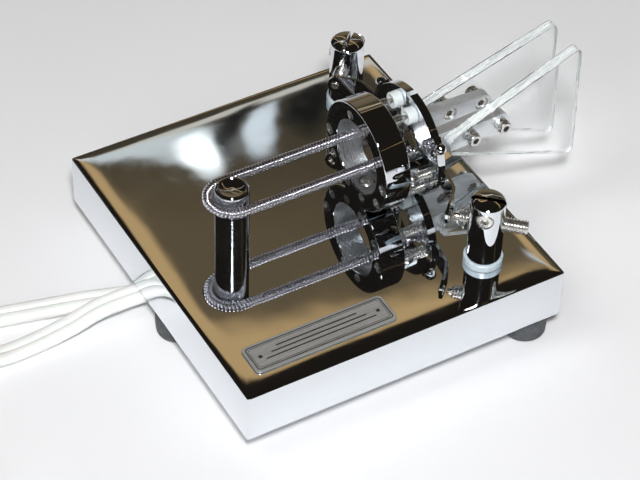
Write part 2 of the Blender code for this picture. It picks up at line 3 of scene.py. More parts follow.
import bmesh
import bpy
from mathutils import Matrix, Vector


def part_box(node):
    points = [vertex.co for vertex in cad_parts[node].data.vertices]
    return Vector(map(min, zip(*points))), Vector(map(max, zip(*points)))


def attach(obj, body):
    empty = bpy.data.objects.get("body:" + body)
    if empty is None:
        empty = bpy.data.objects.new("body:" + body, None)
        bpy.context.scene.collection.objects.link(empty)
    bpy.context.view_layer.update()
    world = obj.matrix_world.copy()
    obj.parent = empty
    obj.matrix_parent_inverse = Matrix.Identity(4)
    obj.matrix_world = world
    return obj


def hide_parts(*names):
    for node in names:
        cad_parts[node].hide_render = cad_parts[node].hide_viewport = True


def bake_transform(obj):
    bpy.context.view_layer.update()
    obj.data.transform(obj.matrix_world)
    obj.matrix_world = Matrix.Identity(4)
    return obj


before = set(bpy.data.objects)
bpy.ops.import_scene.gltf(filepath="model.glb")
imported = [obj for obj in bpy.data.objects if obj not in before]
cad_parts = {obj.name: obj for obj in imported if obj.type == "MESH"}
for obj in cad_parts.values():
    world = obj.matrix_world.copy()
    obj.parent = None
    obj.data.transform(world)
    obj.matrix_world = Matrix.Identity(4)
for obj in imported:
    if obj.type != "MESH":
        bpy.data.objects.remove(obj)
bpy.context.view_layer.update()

MM = 0.001
BASE_LOW, BASE_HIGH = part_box("base_plate")
ORIGIN = Vector((0.0, (BASE_LOW.y + BASE_HIGH.y) / 2, BASE_HIGH.z))
BASE_BOTTOM = (BASE_LOW.z - BASE_HIGH.z) / MM
TABLE = -BASE_HIGH.z / MM
SIDES = {"left": -1, "right": 1}
scene = bpy.context.scene


def key(x, y, z):
    """Millimetres from the centre of the base's top face, as a point in the frame."""
    return ORIGIN + Vector((x, y, z)) * MM


# ---------------------------------------------------------------- camera
CAMERA_AT = (-417.661, 250.084, 463.619)
CAMERA_RIGHT = Vector((-0.49567, -0.86813, 0.02573))
CAMERA_AHEAD = Vector((0.61355, -0.37097, -0.69709))
CAMERA_LENS = 140.61


def make_camera():
    data = bpy.data.cameras.new("camera")
    camera = bpy.data.objects.new("camera", data)
    scene.collection.objects.link(camera)
    data.lens = CAMERA_LENS
    data.sensor_width = 36.0
    data.clip_start = 0.01
    data.clip_end = 20.0
    right = CAMERA_RIGHT.normalized()
    ahead = (CAMERA_AHEAD - right * CAMERA_AHEAD.dot(right)).normalized()
    up = right.cross(ahead)
    turn = Matrix((right, up, -ahead)).transposed().to_4x4()
    camera.matrix_world = Matrix.Translation(key(*CAMERA_AT)) @ turn
    scene.camera = camera


make_camera()


# ---------------------------------------------------------------- materials
class Nodes:
    """A Principled material and short ways to add texture nodes to it."""

    def __init__(self, name, color, metallic=0.0, roughness=0.5, **values):
        self.material = bpy.data.materials.new(name)
        self.material.use_nodes = True
        self.tree = self.material.node_tree
        self.shader = self.tree.nodes["Principled BSDF"]
        self.set("Base Color", (*color, 1.0))
        self.set("Metallic", metallic)
        self.set("Roughness", roughness)
        for label, value in values.items():
            self.set(label.replace("_", " "), value)
        self.coords = self.add("ShaderNodeTexCoord").outputs["Object"]

    def set(self, label, value):
        self.shader.inputs[label].default_value = value

    def add(self, kind, **values):
        node = self.tree.nodes.new(kind)
        for label, value in values.items():
            setattr(node, label, value)
        return node

    def link(self, a, b):
        self.tree.links.new(a, b)

    def stretched(self, scale):
        """Object coordinates in millimetres times scale."""
        mapping = self.add("ShaderNodeMapping")
        mapping.inputs["Scale"].default_value = tuple(1000.0 * s for s in scale)
        self.link(self.coords, mapping.inputs["Vector"])
        return mapping.outputs["Vector"]

    def noise(self, scale, detail, rough=0.6):
        """Noise of so many waves per millimetre, in all directions or in each."""
        if isinstance(scale, (int, float)):
            scale = (scale,) * 3
        node = self.add("ShaderNodeTexNoise")
        self.link(self.stretched(scale), node.inputs["Vector"])
        node.inputs["Scale"].default_value = 1.0
        node.inputs["Detail"].default_value = detail
        node.inputs["Roughness"].default_value = rough
        return node.outputs["Fac"]

    def ramp(self, value, stops):
        node = self.add("ShaderNodeValToRGB")
        ramp = node.color_ramp.elements
        while len(ramp) < len(stops):
            ramp.new(0.5)
        for element, (place, color) in zip(ramp, stops):
            element.position = place
            grey = isinstance(color, (int, float))
            element.color = (color, color, color, 1.0) if grey else (*color, 1.0)
        self.link(value, node.inputs["Fac"])
        return node.outputs["Color"]

    def bump(self, height, strength, distance=0.0001):
        node = self.add("ShaderNodeBump")
        node.inputs["Strength"].default_value = strength
        node.inputs["Distance"].default_value = distance
        self.link(height, node.inputs["Height"])
        old = self.shader.inputs["Normal"]
        if old.is_linked:
            self.link(old.links[0].from_socket, node.inputs["Normal"])
        self.link(node.outputs["Normal"], self.shader.inputs["Normal"])

    def roughness(self, value):
        self.link(value, self.shader.inputs["Roughness"])

    def color(self, value):
        self.link(value, self.shader.inputs["Base Color"])


def chrome_material():
    m = Nodes("chrome", (0.80, 0.83, 0.86), 1.0, 0.04)
    m.roughness(m.ramp(m.noise(0.12, 5), [(0.3, 0.012), (0.62, 0.035), (0.8, 0.075)]))
    m.bump(m.noise(0.035, 2), 0.06, 0.0004)
    m.bump(m.noise((0.25, 4.0, 0.25), 3), 0.01, 0.00003)
    return m.material


def turned_material():
    """Chrome over a lathe-turned post: fine rings round it spread each highlight along it."""
    m = Nodes("turned_chrome", (0.80, 0.83, 0.86), 1.0, 0.05)
    m.roughness(m.ramp(m.noise(0.12, 5), [(0.3, 0.03), (0.62, 0.06), (0.8, 0.1)]))
    m.bump(m.noise((0.35, 0.35, 5.0), 2, 0.5), 0.35, 0.00006)
    return m.material


def brushed_material(name, color, scale, low, high, strength):
    m = Nodes(name, color, 1.0, low)
    grain = m.noise(scale, 3, 0.7)
    m.roughness(m.ramp(grain, [(0.3, low), (0.7, high)]))
    m.bump(grain, strength, 0.00004)
    return m.material


def finish(name, color, metallic, roughness, tone=None, gloss=None, bump=None, top=0.7, **values):
    """Noise from one tone to another, from one roughness to another, and as a fine bump."""
    m = Nodes(name, color, metallic, roughness, **values)
    for part, use in ((tone, m.color), (gloss, m.roughness)):
        if part:
            *noise, low, high = part
            use(m.ramp(m.noise(*noise), [(0.3, low), (top, high)]))
    if bump:
        *noise, strength, distance = bump
        m.bump(m.noise(*noise), strength, distance)
    return m.material


def acrylic_material():
    m = Nodes("clear_acrylic", (0.975, 0.985, 0.985), 0.0, 0.02, Transmission_Weight=1.0, IOR=1.49)
    m.roughness(m.ramp(m.noise(0.15, 5), [(0.35, 0.006), (0.75, 0.05)]))
    m.bump(m.noise(0.08, 3), 0.04, 0.0003)
    return m.material


def edge_material():
    """The sawn and polished edge of the acrylic, which catches the light: its whitish colour is partly the sawn
    finish and partly a painted highlight for that light.
    """
    m = Nodes("acrylic_edge", (0.86, 0.89, 0.89), 0.0, 0.25, Transmission_Weight=0.55, IOR=1.2)
    # Painted highlight over the sawn finish: the bright stripes along the edge stand in for the light it catches.
    streak = m.noise((0.5, 0.07, 0.09), 4, 0.7)
    m.color(m.ramp(streak, [(0.3, (0.62, 0.64, 0.63)), (0.5, (0.85, 0.88, 0.88)), (0.7, (0.97, 0.98, 0.98))]))
    m.roughness(m.ramp(m.noise((0.9, 0.12, 0.12), 4), [(0.3, 0.12), (0.7, 0.5)]))
    m.bump(m.noise((2.0, 0.3, 0.3), 3), 0.2, 0.00006)
    return m.material


def plate_material():
    m = Nodes("brushed_plate", (0.42, 0.42, 0.40), 0.5, 0.35)
    grain = m.noise((0.6, 0.04, 0.6), 4, 0.7)
    m.color(m.ramp(grain, [(0.3, (0.36, 0.36, 0.345)), (0.7, (0.46, 0.46, 0.44))]))
    m.roughness(m.ramp(m.noise((8.0, 0.15, 8.0), 3), [(0.3, 0.22), (0.7, 0.4)]))
    m.bump(m.noise((9.0, 0.12, 9.0), 2), 0.15, 0.00004)
    return m.material


CHROME = chrome_material()
TURNED = turned_material()
ACRYLIC = acrylic_material()
EDGE = edge_material()
PLATE = plate_material()
BORE = brushed_material("turned_bore", (0.70, 0.71, 0.72), (0.3, 7.0, 0.3), 0.2, 0.42, 0.5)
STEEL = finish(
    "machined_steel", (0.62, 0.61, 0.59), 1.0, 0.2,
    tone=(0.9, 4, (0.66, 0.65, 0.62), (0.84, 0.83, 0.80)),
    gloss=(2.5, 3, 0.2, 0.36), bump=(6, 2, 0.08, 0.00003),
)
NICKEL = finish(
    "satin_nickel", (0.7, 0.72, 0.74), 0.75, 0.35,
    tone=((0.5, 0.3, 0.5), 5, (0.60, 0.62, 0.64), (0.78, 0.80, 0.82)),
    gloss=((1.2, 0.5, 1.2), 4, 0.3, 0.45), bump=((3, 1.2, 3), 3, 0.06, 0.00003),
)
SPRING = finish("spring_wire", (0.90, 0.88, 0.94), 1.0, 0.2, gloss=(3, 3, 0.16, 0.28))
NYLON = finish(
    "milky_nylon", (0.70, 0.75, 0.75), 0.0, 0.38,
    tone=(0.5, 3, (0.651, 0.6975, 0.6975), (0.70, 0.75, 0.75)), bump=(4, 3, 0.1, 0.00004),
    Subsurface_Weight=0.35, Subsurface_Scale=0.0015, Subsurface_Radius=(1.0, 0.9, 0.8),
)
INSULATOR = finish(
    "pale_insulator", (0.62, 0.72, 0.78), 0.0, 0.25, tone=(0.5, 3, (0.55, 0.66, 0.73), (0.70, 0.78, 0.83)),
    Subsurface_Weight=0.5, Subsurface_Scale=0.002, Subsurface_Radius=(0.8, 0.9, 1.0),
    Transmission_Weight=0.25,
)
RUBBER = finish(
    "foot_rubber", (0.06, 0.065, 0.07), 0.0, 0.7,
    tone=(0.6, 4, (0.05, 0.055, 0.06), (0.10, 0.105, 0.11)), bump=(5, 4, 0.25, 0.00006), top=0.75,
)
INK = finish("engraved_dark", (0.02, 0.02, 0.022), 0.0, 0.45, gloss=(3, 3, 0.35, 0.6))
CORD = finish(
    "white_vinyl", (0.84, 0.85, 0.83), 0.0, 0.45, tone=(0.08, 5, (0.78, 0.79, 0.76), (0.87, 0.88, 0.86)),
    gloss=(0.7, 4, 0.38, 0.55), bump=(1.5, 4, 0.08, 0.00008), Subsurface_Weight=0.15, Subsurface_Scale=0.001,
)
BLACK = finish(
    "moulded_black", (0.025, 0.025, 0.027), 0.0, 0.45, gloss=(0.8, 4, 0.35, 0.55), bump=(6, 3, 0.2, 0.00004),
)
SILVER = finish("contact_silver", (0.86, 0.78, 0.68), 1.0, 0.18, gloss=(3, 3, 0.12, 0.3))


# ---------------------------------------------------------------- mesh helpers
def make(name, bm, material, body=None, node=None, at=(0, 0, 0), direction=None, sharp=30.0,
         weighted=True, more=()):
    """A piece from a bmesh in millimetres. With a direction its local Z lies along it, at that key point."""
    bmesh.ops.remove_doubles(bm, verts=bm.verts, dist=0.0005)
    bmesh.ops.recalc_face_normals(bm, faces=bm.faces)
    bmesh.ops.scale(bm, vec=(MM, MM, MM), verts=bm.verts)
    mesh = bpy.data.meshes.new(name)
    bm.to_mesh(mesh)
    bm.free()
    mesh.shade_smooth()
    mesh.set_sharp_from_angle(angle=math.radians(sharp))
    thing = bpy.data.objects.new(name, mesh)
    scene.collection.objects.link(thing)
    if direction is not None:
        thing.rotation_euler = Vector((0, 0, 1)).rotation_difference(Vector(direction)).to_euler()
    thing.location = key(*at)
    for m in (material, *more):
        mesh.materials.append(m)
    if weighted:
        smooth = thing.modifiers.new("normals", "WEIGHTED_NORMAL")
        smooth.keep_sharp = True
    if body:
        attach(thing, body)
    if node:
        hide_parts(node)
    return thing


def add_lathe(bm, profile, segments, origin=(0, 0, 0), along=(0, 0, 1), closed=False, mark=None):
    spin = Vector((0, 0, 1)).rotation_difference(Vector(along)).to_matrix()
    rings = []
    for radius, height in profile:
        ring = []
        for i in range(segments if radius > 0 else 1):
            angle = 2 * math.pi * (i + 0.5) / segments
            point = Vector((radius * math.cos(angle), radius * math.sin(angle), height))
            ring.append(bm.verts.new(spin @ point + Vector(origin)))
        rings.append(ring)
    pairs = list(zip(rings, rings[1:]))
    if closed:
        pairs.append((rings[-1], rings[0]))
    for number, (a, b) in enumerate(pairs):
        for i in range(segments):
            j = (i + 1) % segments
            corners = [a[i % len(a)], a[j % len(a)], b[j % len(b)], b[i % len(b)]]
            corners = list(dict.fromkeys(corners))
            if len(corners) > 2:
                face = bm.faces.new(corners)
                if mark and number in mark:
                    face.material_index = mark[number]
    if not closed:
        for ring in (rings[0], rings[-1]):
            if len(ring) > 1:
                bm.faces.new(ring)


def skin(bm, rings, closed=False):
    """Faces from each ring to the next, with a cap at both ends unless the last meets the first."""
    count = len(rings[0])
    for a, b in zip(rings, rings[1:] + (rings[:1] if closed else [])):
        for i in range(count):
            j = (i + 1) % count
            bm.faces.new((a[i], a[j], b[j], b[i]))
    if not closed:
        bm.faces.new(rings[0])
        bm.faces.new(rings[-1])


def fillet(profile, radius, steps=3, closed=False):
    """The profile with its turning corners rounded, where there is room."""
    count = len(profile)
    made = []
    for i, point in enumerate(profile):
        here = Vector(point)
        if not closed and i in (0, count - 1):
            made.append(tuple(here))
            continue
        before = Vector(profile[i - 1]) - here
        after = Vector(profile[(i + 1) % count]) - here
        if before.length < 1e-6 or after.length < 1e-6:
            made.append(tuple(here))
            continue
        half = before.angle(after) / 2
        if half > math.radians(80) or half < math.radians(5):
            made.append(tuple(here))
            continue
        reach = min(radius / math.tan(half), before.length * 0.45, after.length * 0.45)
        used = reach * math.tan(half)
        before.normalize()
        after.normalize()
        centre = here + (before + after).normalized() * used / math.sin(half)
        start, end = here + before * reach - centre, here + after * reach - centre
        for k in range(steps + 1):
            made.append(tuple(centre + start.lerp(end, k / steps).normalized() * used))
    return made


def turned(name, profile, material, body, node, at, direction=(0, 0, 1), segments=48,
           closed=False, round_by=0.12):
    bm = bmesh.new()
    add_lathe(bm, fillet(profile, round_by, 3, closed), segments, closed=closed)
    return make(name, bm, material, body, node, at, direction)


def add_prism(bm, outline, low, high, axes="XYZ"):
    index = ["XYZ".index(letter) for letter in axes]
    layers = []
    for depth in (low, high):
        layer = []
        for a, b in outline:
            point = [0.0, 0.0, 0.0]
            point[index[0]], point[index[1]], point[index[2]] = a, b, depth
            layer.append(bm.verts.new(point))
        layers.append(layer)
    bm.faces.new(layers[0])
    bm.faces.new(layers[1])
    for i in range(len(outline)):
        j = (i + 1) % len(outline)
        bm.faces.new((layers[0][i], layers[0][j], layers[1][j], layers[1][i]))


def bevel(thing, width, segments=3, angle=35.0):
    made = thing.modifiers.new("edges", "BEVEL")
    made.width = width * MM
    made.segments = segments
    made.limit_method = "ANGLE"
    made.angle_limit = math.radians(angle)
    made.harden_normals = False
    names = [m.name for m in thing.modifiers]
    if "normals" in names:
        thing.modifiers.move(names.index("edges"), names.index("normals"))
    return thing


def combine(thing, tool, operation):
    """A Boolean, applied at once so that its guide can go."""
    made = thing.modifiers.new("shape", "BOOLEAN")
    made.operation = operation
    made.solver = "EXACT"
    made.object = tool
    thing.modifiers.move(len(thing.modifiers) - 1, 0)
    apply_first(thing)
    bpy.data.objects.remove(tool)


def cut(thing, *tools):
    for tool in tools:
        combine(thing, tool, "DIFFERENCE")


def apply_first(thing):
    """Applies the first modifier and keeps the others."""
    kept = []
    for modifier in list(thing.modifiers)[1:]:
        kept.append((modifier.type, modifier.name, {
            label: getattr(modifier, label)
            for label in ("width", "segments", "limit_method", "angle_limit", "keep_sharp")
            if hasattr(modifier, label)
        }))
        thing.modifiers.remove(modifier)
    bpy.context.view_layer.update()
    mesh = bpy.data.meshes.new_from_object(thing.evaluated_get(bpy.context.evaluated_depsgraph_get()))
    thing.modifiers.clear()
    thing.data = mesh
    mesh.shade_smooth()
    mesh.set_sharp_from_angle(angle=math.radians(30))
    for kind, name, values in kept:
        made = thing.modifiers.new(name, kind)
        for label, value in values.items():
            setattr(made, label, value)


def guide(bm):
    return make("guide", bm, STEEL, weighted=False)


def hole(radius, start, end, segments=32):
    bm = bmesh.new()
    along = Vector(end) - Vector(start)
    add_lathe(bm, [(radius, 0.0), (radius, along.length)], segments, start, along.normalized())
    return guide(bm)


def local_hole(thing, radius, low, high, sides=32):
    """A hole down a turned piece's own axis."""
    bm = bmesh.new()
    add_lathe(bm, [(radius, low), (radius, high)], sides)
    tool = guide(bm)
    tool.matrix_world = thing.matrix_world.copy()
    cut(thing, tool)


def rounded(outline, radius, steps=6):
    made = []
    for i, corner in enumerate(outline):
        here = Vector(corner)
        before = (Vector(outline[i - 1]) - here).normalized()
        after = (Vector(outline[(i + 1) % len(outline)]) - here).normalized()
        half = before.angle(after) / 2
        centre = here + (before + after).normalized() * radius / math.sin(half)
        start = here + before * radius / math.tan(half) - centre
        end = here + after * radius / math.tan(half) - centre
        for k in range(steps + 1):
            made.append(tuple(centre + start.lerp(end, k / steps).normalized() * radius))
    return made


def add_thread(bm, radius, pitch, low, high, segments=24):
    """A helical thread about local Z, closed at both ends, with its ends chamfered."""
    depth = pitch * 0.55
    steps = 6
    rows = max(2, int((high - low) / pitch * steps))
    rings = []
    for k in range(rows + 1):
        z = low + (high - low) * k / rows
        ring = []
        for i in range(segments):
            share = i / segments
            phase = ((z - low) / pitch - share) % 1.0
            wave = abs(phase * 2 - 1)
            r = radius - depth * min(1.0, max(0.0, (1 - wave) * 1.35 - 0.12))
            r = min(r, radius - depth + max(0.0, min(z - low, high - z) * 1.1) + 0.02)
            angle = 2 * math.pi * share
            ring.append(bm.verts.new((r * math.cos(angle), r * math.sin(angle), z)))
        rings.append(ring)
    skin(bm, rings)


def threaded(name, radius, pitch, low, high, body, node, at, direction, segments=24):
    bm = bmesh.new()
    add_thread(bm, radius, pitch, low, high, segments)
    return make(name, bm, STEEL, body, node, at, direction, sharp=60.0, weighted=False)


def smooth_path(points, step):
    points = [Vector(p) for p in points]
    ends = [points[0] * 2 - points[1], *points, points[-1] * 2 - points[-2]]
    made = [points[0]]
    for a, b, c, d in zip(ends, ends[1:], ends[2:], ends[3:]):
        count = max(1, round((c - b).length / step))
        square, cube = 2 * a - 5 * b + 4 * c - d, 3 * b - a - 3 * c + d
        for k in range(1, count + 1):
            t = k / count
            made.append(0.5 * (2 * b + (c - a) * t + square * t**2 + cube * t**3))
    return made


def add_sweep(bm, path, section, ups):
    rings = []
    for i, point in enumerate(path):
        along = (path[min(i + 1, len(path) - 1)] - path[max(i - 1, 0)]).normalized()
        up = ups[i] - along * ups[i].dot(along)
        up.normalize()
        across = along.cross(up)
        rings.append([bm.verts.new(point + across * a + up * b) for a, b in section])
    skin(bm, rings)


def circle(radius, count):
    return [
        (radius * math.cos(2 * math.pi * i / count), radius * math.sin(2 * math.pi * i / count))
        for i in range(count)
    ]


# ---------------------------------------------------------------- cords
CORD_WIDTH, CORD_THICKNESS = 6.6, 3.3
COIL = Vector((-10.0, 153.0, 0.0))
LIE = TABLE + CORD_THICKNESS / 2 + 0.05
STAND = TABLE + CORD_WIDTH / 2 + 0.05
UPPER = STAND + CORD_WIDTH + 0.3
PLUG_Z = UPPER + CORD_WIDTH / 2 + 4.8
CORD_ROUTES = {
    "left": [
        (9.7, 26.0, -18.45),
        (9.7, 34.0, -18.45),
        (10.7, 40.5, -18.45),
        (11.8, 47.0, -18.5),
        (12.2, 58.7, -18.9),
        (12.0, 67.0, -20.9),
        (11.8, 77.0, LIE),
        (11.6, 88.0, LIE + 0.1),
        (11.3, 99.0, LIE + 4.5),
        (12.6, 108.5, UPPER - 0.8),
        (16.4, 117.4, UPPER),
    ],
    "right": [
        (16.8, 26.0, -18.45),
        (16.8, 31.8, -18.5),
        (17.2, 37.0, -20.6),
        (16.9, 41.8, -22.1),
        (15.6, 47.0, LIE),
        (19.1, 58.3, LIE),
        (21.8, 69.0, LIE),
        (25.0, 82.3, LIE),
        (27.3, 96.0, LIE + 0.6),
        (28.1, 112.0, STAND - 0.3),
        (27.9, 122.0, STAND),
        (27.8, 131.5, STAND),
    ],
}


def polar(radius, degrees, z):
    angle = math.radians(degrees)
    return COIL + Vector((radius * math.cos(angle), radius * math.sin(angle), z))


def cord_section():
    """Two round conductors side by side, with the web between them drawn in."""
    r = CORD_THICKNESS / 2
    made = []
    for side, first in ((1, -105), (-1, 75)):
        for k in range(9):
            angle = math.radians(first + 210 * k / 8)
            made.append((side * (CORD_WIDTH / 2 - r) + r * math.cos(angle), r * math.sin(angle)))
        web = side * (r - 0.07)
        made += [(side * 0.42, web), (0.0, side * (r - 0.42)), (-side * 0.42, web)]
    return made


def make_cord(name):
    path = smooth_path(CORD_ROUTES[name], 2.5)
    level = UPPER if name == "left" else STAND
    start = -22.0 if name == "left" else 0.0
    outer, inner = 37.9, 28.1
    last = 360 * 4 - (190 if name == "left" else 150) + (22 if name == "left" else 0)
    steps = int(last / 7.5)
    for k in range(steps + 1):
        degrees = start + last * k / steps
        path.append(polar(outer - (outer - inner) * min(1.0, k / steps), degrees, level))
    end = start + last
    if name == "left":
        tail = [
            polar(inner + 0.2, end + 14, level + 2.6),
            COIL + Vector((-31.0, -9.5, level + 6.6)),
            COIL + Vector((-33.4, -17.0, PLUG_Z - 0.2)),
            COIL + Vector((-32.8, -23.4, PLUG_Z)),
            COIL + Vector((-29.0, -29.0, PLUG_Z)),
            COIL + Vector((-23.6, -31.4, PLUG_Z)),
            COIL + Vector((-18.5, -31.5, PLUG_Z)),
        ]
    else:
        tail = [
            polar(26.5, end + 14, level + 1.2),
            polar(24.3, end + 45, level + 4.5),
            polar(23.6, end + 85, level + 9.0),
            polar(25.0, end + 125, level + 13.5),
            polar(30.0, end + 160, PLUG_Z - 0.6),
            COIL + Vector((30.5, 23.5, PLUG_Z)),
            COIL + Vector((26.0, 30.2, PLUG_Z)),
            COIL + Vector((19.0, 31.5, PLUG_Z)),
        ]
    joined = smooth_path([path[-2], path[-1], *tail], 2.5)
    path += joined[2:]
    ups = []
    for point in path:
        share = min(1.0, max(0.0, (point.y - 86.0) / 24.0))
        share *= 1.0 - min(1.0, max(0.0, (point.z - UPPER) / 5.0))
        angle = math.pi / 2 * share * share * (3 - 2 * share)
        away = Vector((point.x - COIL.x, point.y - COIL.y, 0)).normalized()
        ups.append(Vector((0, 0, math.cos(angle))) + away * math.sin(angle))
    bm = bmesh.new()
    add_sweep(bm, path, cord_section(), ups)
    cord = make(f"{name}_twin_cord", bm, CORD, sharp=50.0, weighted=False)
    line = [key(*p) for p in path]
    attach(cord, "base")
    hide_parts(f"{name}_cord", f"{name}_cord_coil")
    length = sum((b - a).length for a, b in zip(line, line[1:]))
    return cord, line, length


def make_plug(name, side):
    """A moulded plug with a ribbed relief, and its bright contact pin."""
    direction = (1.0, 0.0, 0.0) if name == "left" else (-1.0, 0.0, 0.0)
    at = (COIL.x, COIL.y + side * 31.5, PLUG_Z)
    profile = [(0, -23.5), (2.9, -23.5)]
    for k in range(5):
        z = -22.6 + 1.7 * k
        rib, neck = 3.0 + 0.1 * k, 2.5 + 0.1 * k
        profile += [(rib, z), (rib, z + 0.9), (neck, z + 1.1), (neck, z + 1.6)]
    profile += [(4.3, -13.6), (4.45, -5.0), (4.2, -4.2), (4.2, 2.0), (4.45, 3.0)]
    profile += [(4.4, 7.6), (3.7, 8.5), (0, 8.5)]
    node = f"{name}_cord_plug"
    body = turned(f"{name}_plug_body", profile, BLACK, "base", node, at, direction, 40, round_by=0.2)
    pin = [(0, 8.3), (1.75, 8.3), (1.75, 17.0), (1.6, 17.1), (1.6, 17.6), (1.75, 17.7), (1.75, 20.0)]
    pin += [(1.25, 20.8), (1.25, 21.1), (1.65, 21.9), (0.9, 23.2), (0, 23.5)]
    pin = turned(f"{name}_plug_pin", pin, STEEL, "base", node, at, direction, 32, round_by=0.08)
    return [body, pin]


for cord_name, cord_side in SIDES.items():
    twin, cord_line, cord_length = make_cord(cord_name)
    plug_pieces = make_plug(cord_name, cord_side)


# ---------------------------------------------------------------- base, feet, nameplate
def make_base():
    half_x = (BASE_HIGH.x - BASE_LOW.x) / 2 / MM
    half_y = (BASE_HIGH.y - BASE_LOW.y) / 2 / MM
    levels = [(BASE_BOTTOM, 1.3), (BASE_BOTTOM + 1.15, 0.08), (BASE_BOTTOM + 1.5, 0.0)]
    for k in range(5):
        angle = math.pi / 2 * k / 4
        levels.append((-0.47 + 0.4 * math.sin(angle), 0.4 - 0.4 * math.cos(angle)))
    # Polishing has rolled the top off slightly towards its edges.
    levels += [(-0.046, 1.2), (-0.026, 2.2), (-0.010, 3.6), (-0.002, 5.2), (0.0, 7.0), (0.0, 12.0)]
    bm = bmesh.new()
    rings = []
    for z, inset in levels:
        corners = [(-half_x + inset, -half_y + inset), (half_x - inset, -half_y + inset)]
        corners += [(half_x - inset, half_y - inset), (-half_x + inset, half_y - inset)]
        radius = 0.7 - min(inset, 0.4) if inset < 1.4 or z < -5 else 0.3 + inset
        rings.append([bm.verts.new((x, y, z)) for x, y in rounded(corners, radius, 5)])
    skin(bm, rings)
    make("base_block", bm, CHROME, "base", "base_plate", sharp=50.0, weighted=False)


def make_feet():
    for node in ("foot_rear", "foot_front_left", "foot_front_right"):
        low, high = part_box(node)
        middle = (low + high) / 2 - ORIGIN
        tall = (high.z - low.z) / MM
        r = (high.x - low.x) / 2 / MM
        profile = [(0, 0.35), (2.2, 0.35), (2.4, 0.0), (r - 1.1, 0.0)]
        profile += [(r - 0.35, 0.7), (r, tall - 0.8), (r - 0.2, tall), (0, tall)]
        at = (middle.x / MM, middle.y / MM, (low.z - ORIGIN.z) / MM)
        turned(f"{node}_rubber", profile, RUBBER, "base", node, at, round_by=0.5)


def make_nameplate():
    """A brushed plate with an engraved border and plain ruled lines."""
    low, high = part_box("nameplate")
    x0, x1 = (low.x - ORIGIN.x) / MM, (high.x - ORIGIN.x) / MM
    y0, y1 = (low.y - ORIGIN.y) / MM, (high.y - ORIGIN.y) / MM

    def border(inset, radius, steps):
        a0, a1, b0, b1 = x0 + inset, x1 - inset, y0 + inset, y1 - inset
        return rounded([(a0, b0), (a1, b0), (a1, b1), (a0, b1)], radius, steps)

    bm = bmesh.new()
    add_prism(bm, border(0.0, 1.4, 8), 0.02, 0.6)
    bevel(make("nameplate_sheet", bm, PLATE, "base", "nameplate"), 0.18)
    bm = bmesh.new()
    for inset, width in ((0.75, 0.3), (1.35, 0.14)):
        add_band(bm, border(inset, 1.0, 6), border(inset + width, 1.0 - width, 6), 0.56, 0.625)
    for k in range(3):
        x = x0 + 3.3 + 1.5 * k
        add_box(bm, (x, y0 + 4.5 + 2.2 * k, 0.56), (x + 0.42, y1 - 4.5 - 2.2 * k, 0.625))
    for y in (y0 + 2.9, y1 - 3.9):
        add_box(bm, ((x0 + x1) / 2 - 0.5, y, 0.56), ((x0 + x1) / 2 + 0.5, y + 1.0, 0.625))
    make("nameplate_marks", bm, INK, "base", "nameplate")


def add_band(bm, outer, inner, low, high):
    rings = []
    for points, z in ((outer, low), (outer, high), (inner, high), (inner, low)):
        rings.append([bm.verts.new((x, y, z)) for x, y in points])
    skin(bm, rings, closed=True)


def add_box(bm, low, high):
    (x0, y0, z0), (x1, y1, z1) = low, high
    add_prism(bm, [(x0, y0), (x1, y0), (x1, y1), (x0, y1)], z0, z1)


make_base()
make_feet()
make_nameplate()


# ---------------------------------------------------------------- ring, needles, screws, spring
RING_Z, RING_R, BORE_R = 15.3, 15.875, 10.5
RING_FRONT, RING_REAR = -20.4, -12.65
YOKE_REAR, YOKE_FRONT = -28.0, -30.4
BEARINGS = {"upper": 27.15, "lower": 3.45}
PIVOT_X = 3.75
RING_SCREW_Y = (RING_FRONT + RING_REAR) / 2
STOP_X, STOP_Z = 13.9, 14.4
RETAINER_X, RETAINER_Z = 11.3, 7.6
FINE_PITCH = 0.794
BACK = (0, 1, 0)


def make_ring():
    profile = [(BORE_R, RING_FRONT), (BORE_R, RING_REAR), (RING_R, RING_REAR), (RING_R, RING_FRONT)]
    shape = fillet(profile, 0.45, 4, closed=True)
    bm = bmesh.new()
    bore = {}
    for i in range(len(shape)):
        a, b = shape[i], shape[(i + 1) % len(shape)]
        if a[0] < BORE_R + 0.02 and b[0] < BORE_R + 0.02:
            bore[i] = 1
    add_lathe(bm, shape, 128, (0, 0, RING_Z), (0, 1, 0), closed=True, mark=bore)
    for vert in bm.verts:
        if vert.co.z < 0.02:
            shrink = (RING_Z - 0.02) / (RING_Z - vert.co.z)
            vert.co.x *= shrink
            vert.co.z = 0.02
    ring = make("bearing_ring_body", bm, CHROME, "base", "bearing_ring", sharp=40.0, more=(BORE,))
    bores = [(PIVOT_X, z, 1.42) for z in BEARINGS.values()]
    bores += [(STOP_X, STOP_Z, 1.72), (RETAINER_X, RETAINER_Z, 1.55)]
    tools = [hole(2.25, (0, RING_SCREW_Y, -2), (0, RING_SCREW_Y, 8), 32)]
    for side in SIDES.values():
        for x, z, r in bores:
            tools.append(hole(r, (side * x, RING_FRONT - 2, z), (side * x, RING_REAR + 2, z), 24))
    cut(ring, *tools)


def make_ring_screw():
    """The mounting screw: its thread stands up into the ring's bore, and its head lies beneath the base."""
    at = (0, RING_SCREW_Y, 0.0)
    threaded("ring_screw_thread", 2.05, FINE_PITCH, 0.0, 5.05, "base", "ring_screw", at, (0, 0, 1))
    head = [(0, -2.95), (1.0, -2.95), (3.0, -2.5), (3.5, -1.2), (3.5, 0), (2.0, 0), (2.0, 16.5), (0, 16.5)]
    at = (0, RING_SCREW_Y, BASE_BOTTOM)
    screw = turned("ring_screw_head", head, STEEL, "base", "ring_screw", at, segments=32)
    local_hole(screw, 1.5, -4.0, -1.4, 6)


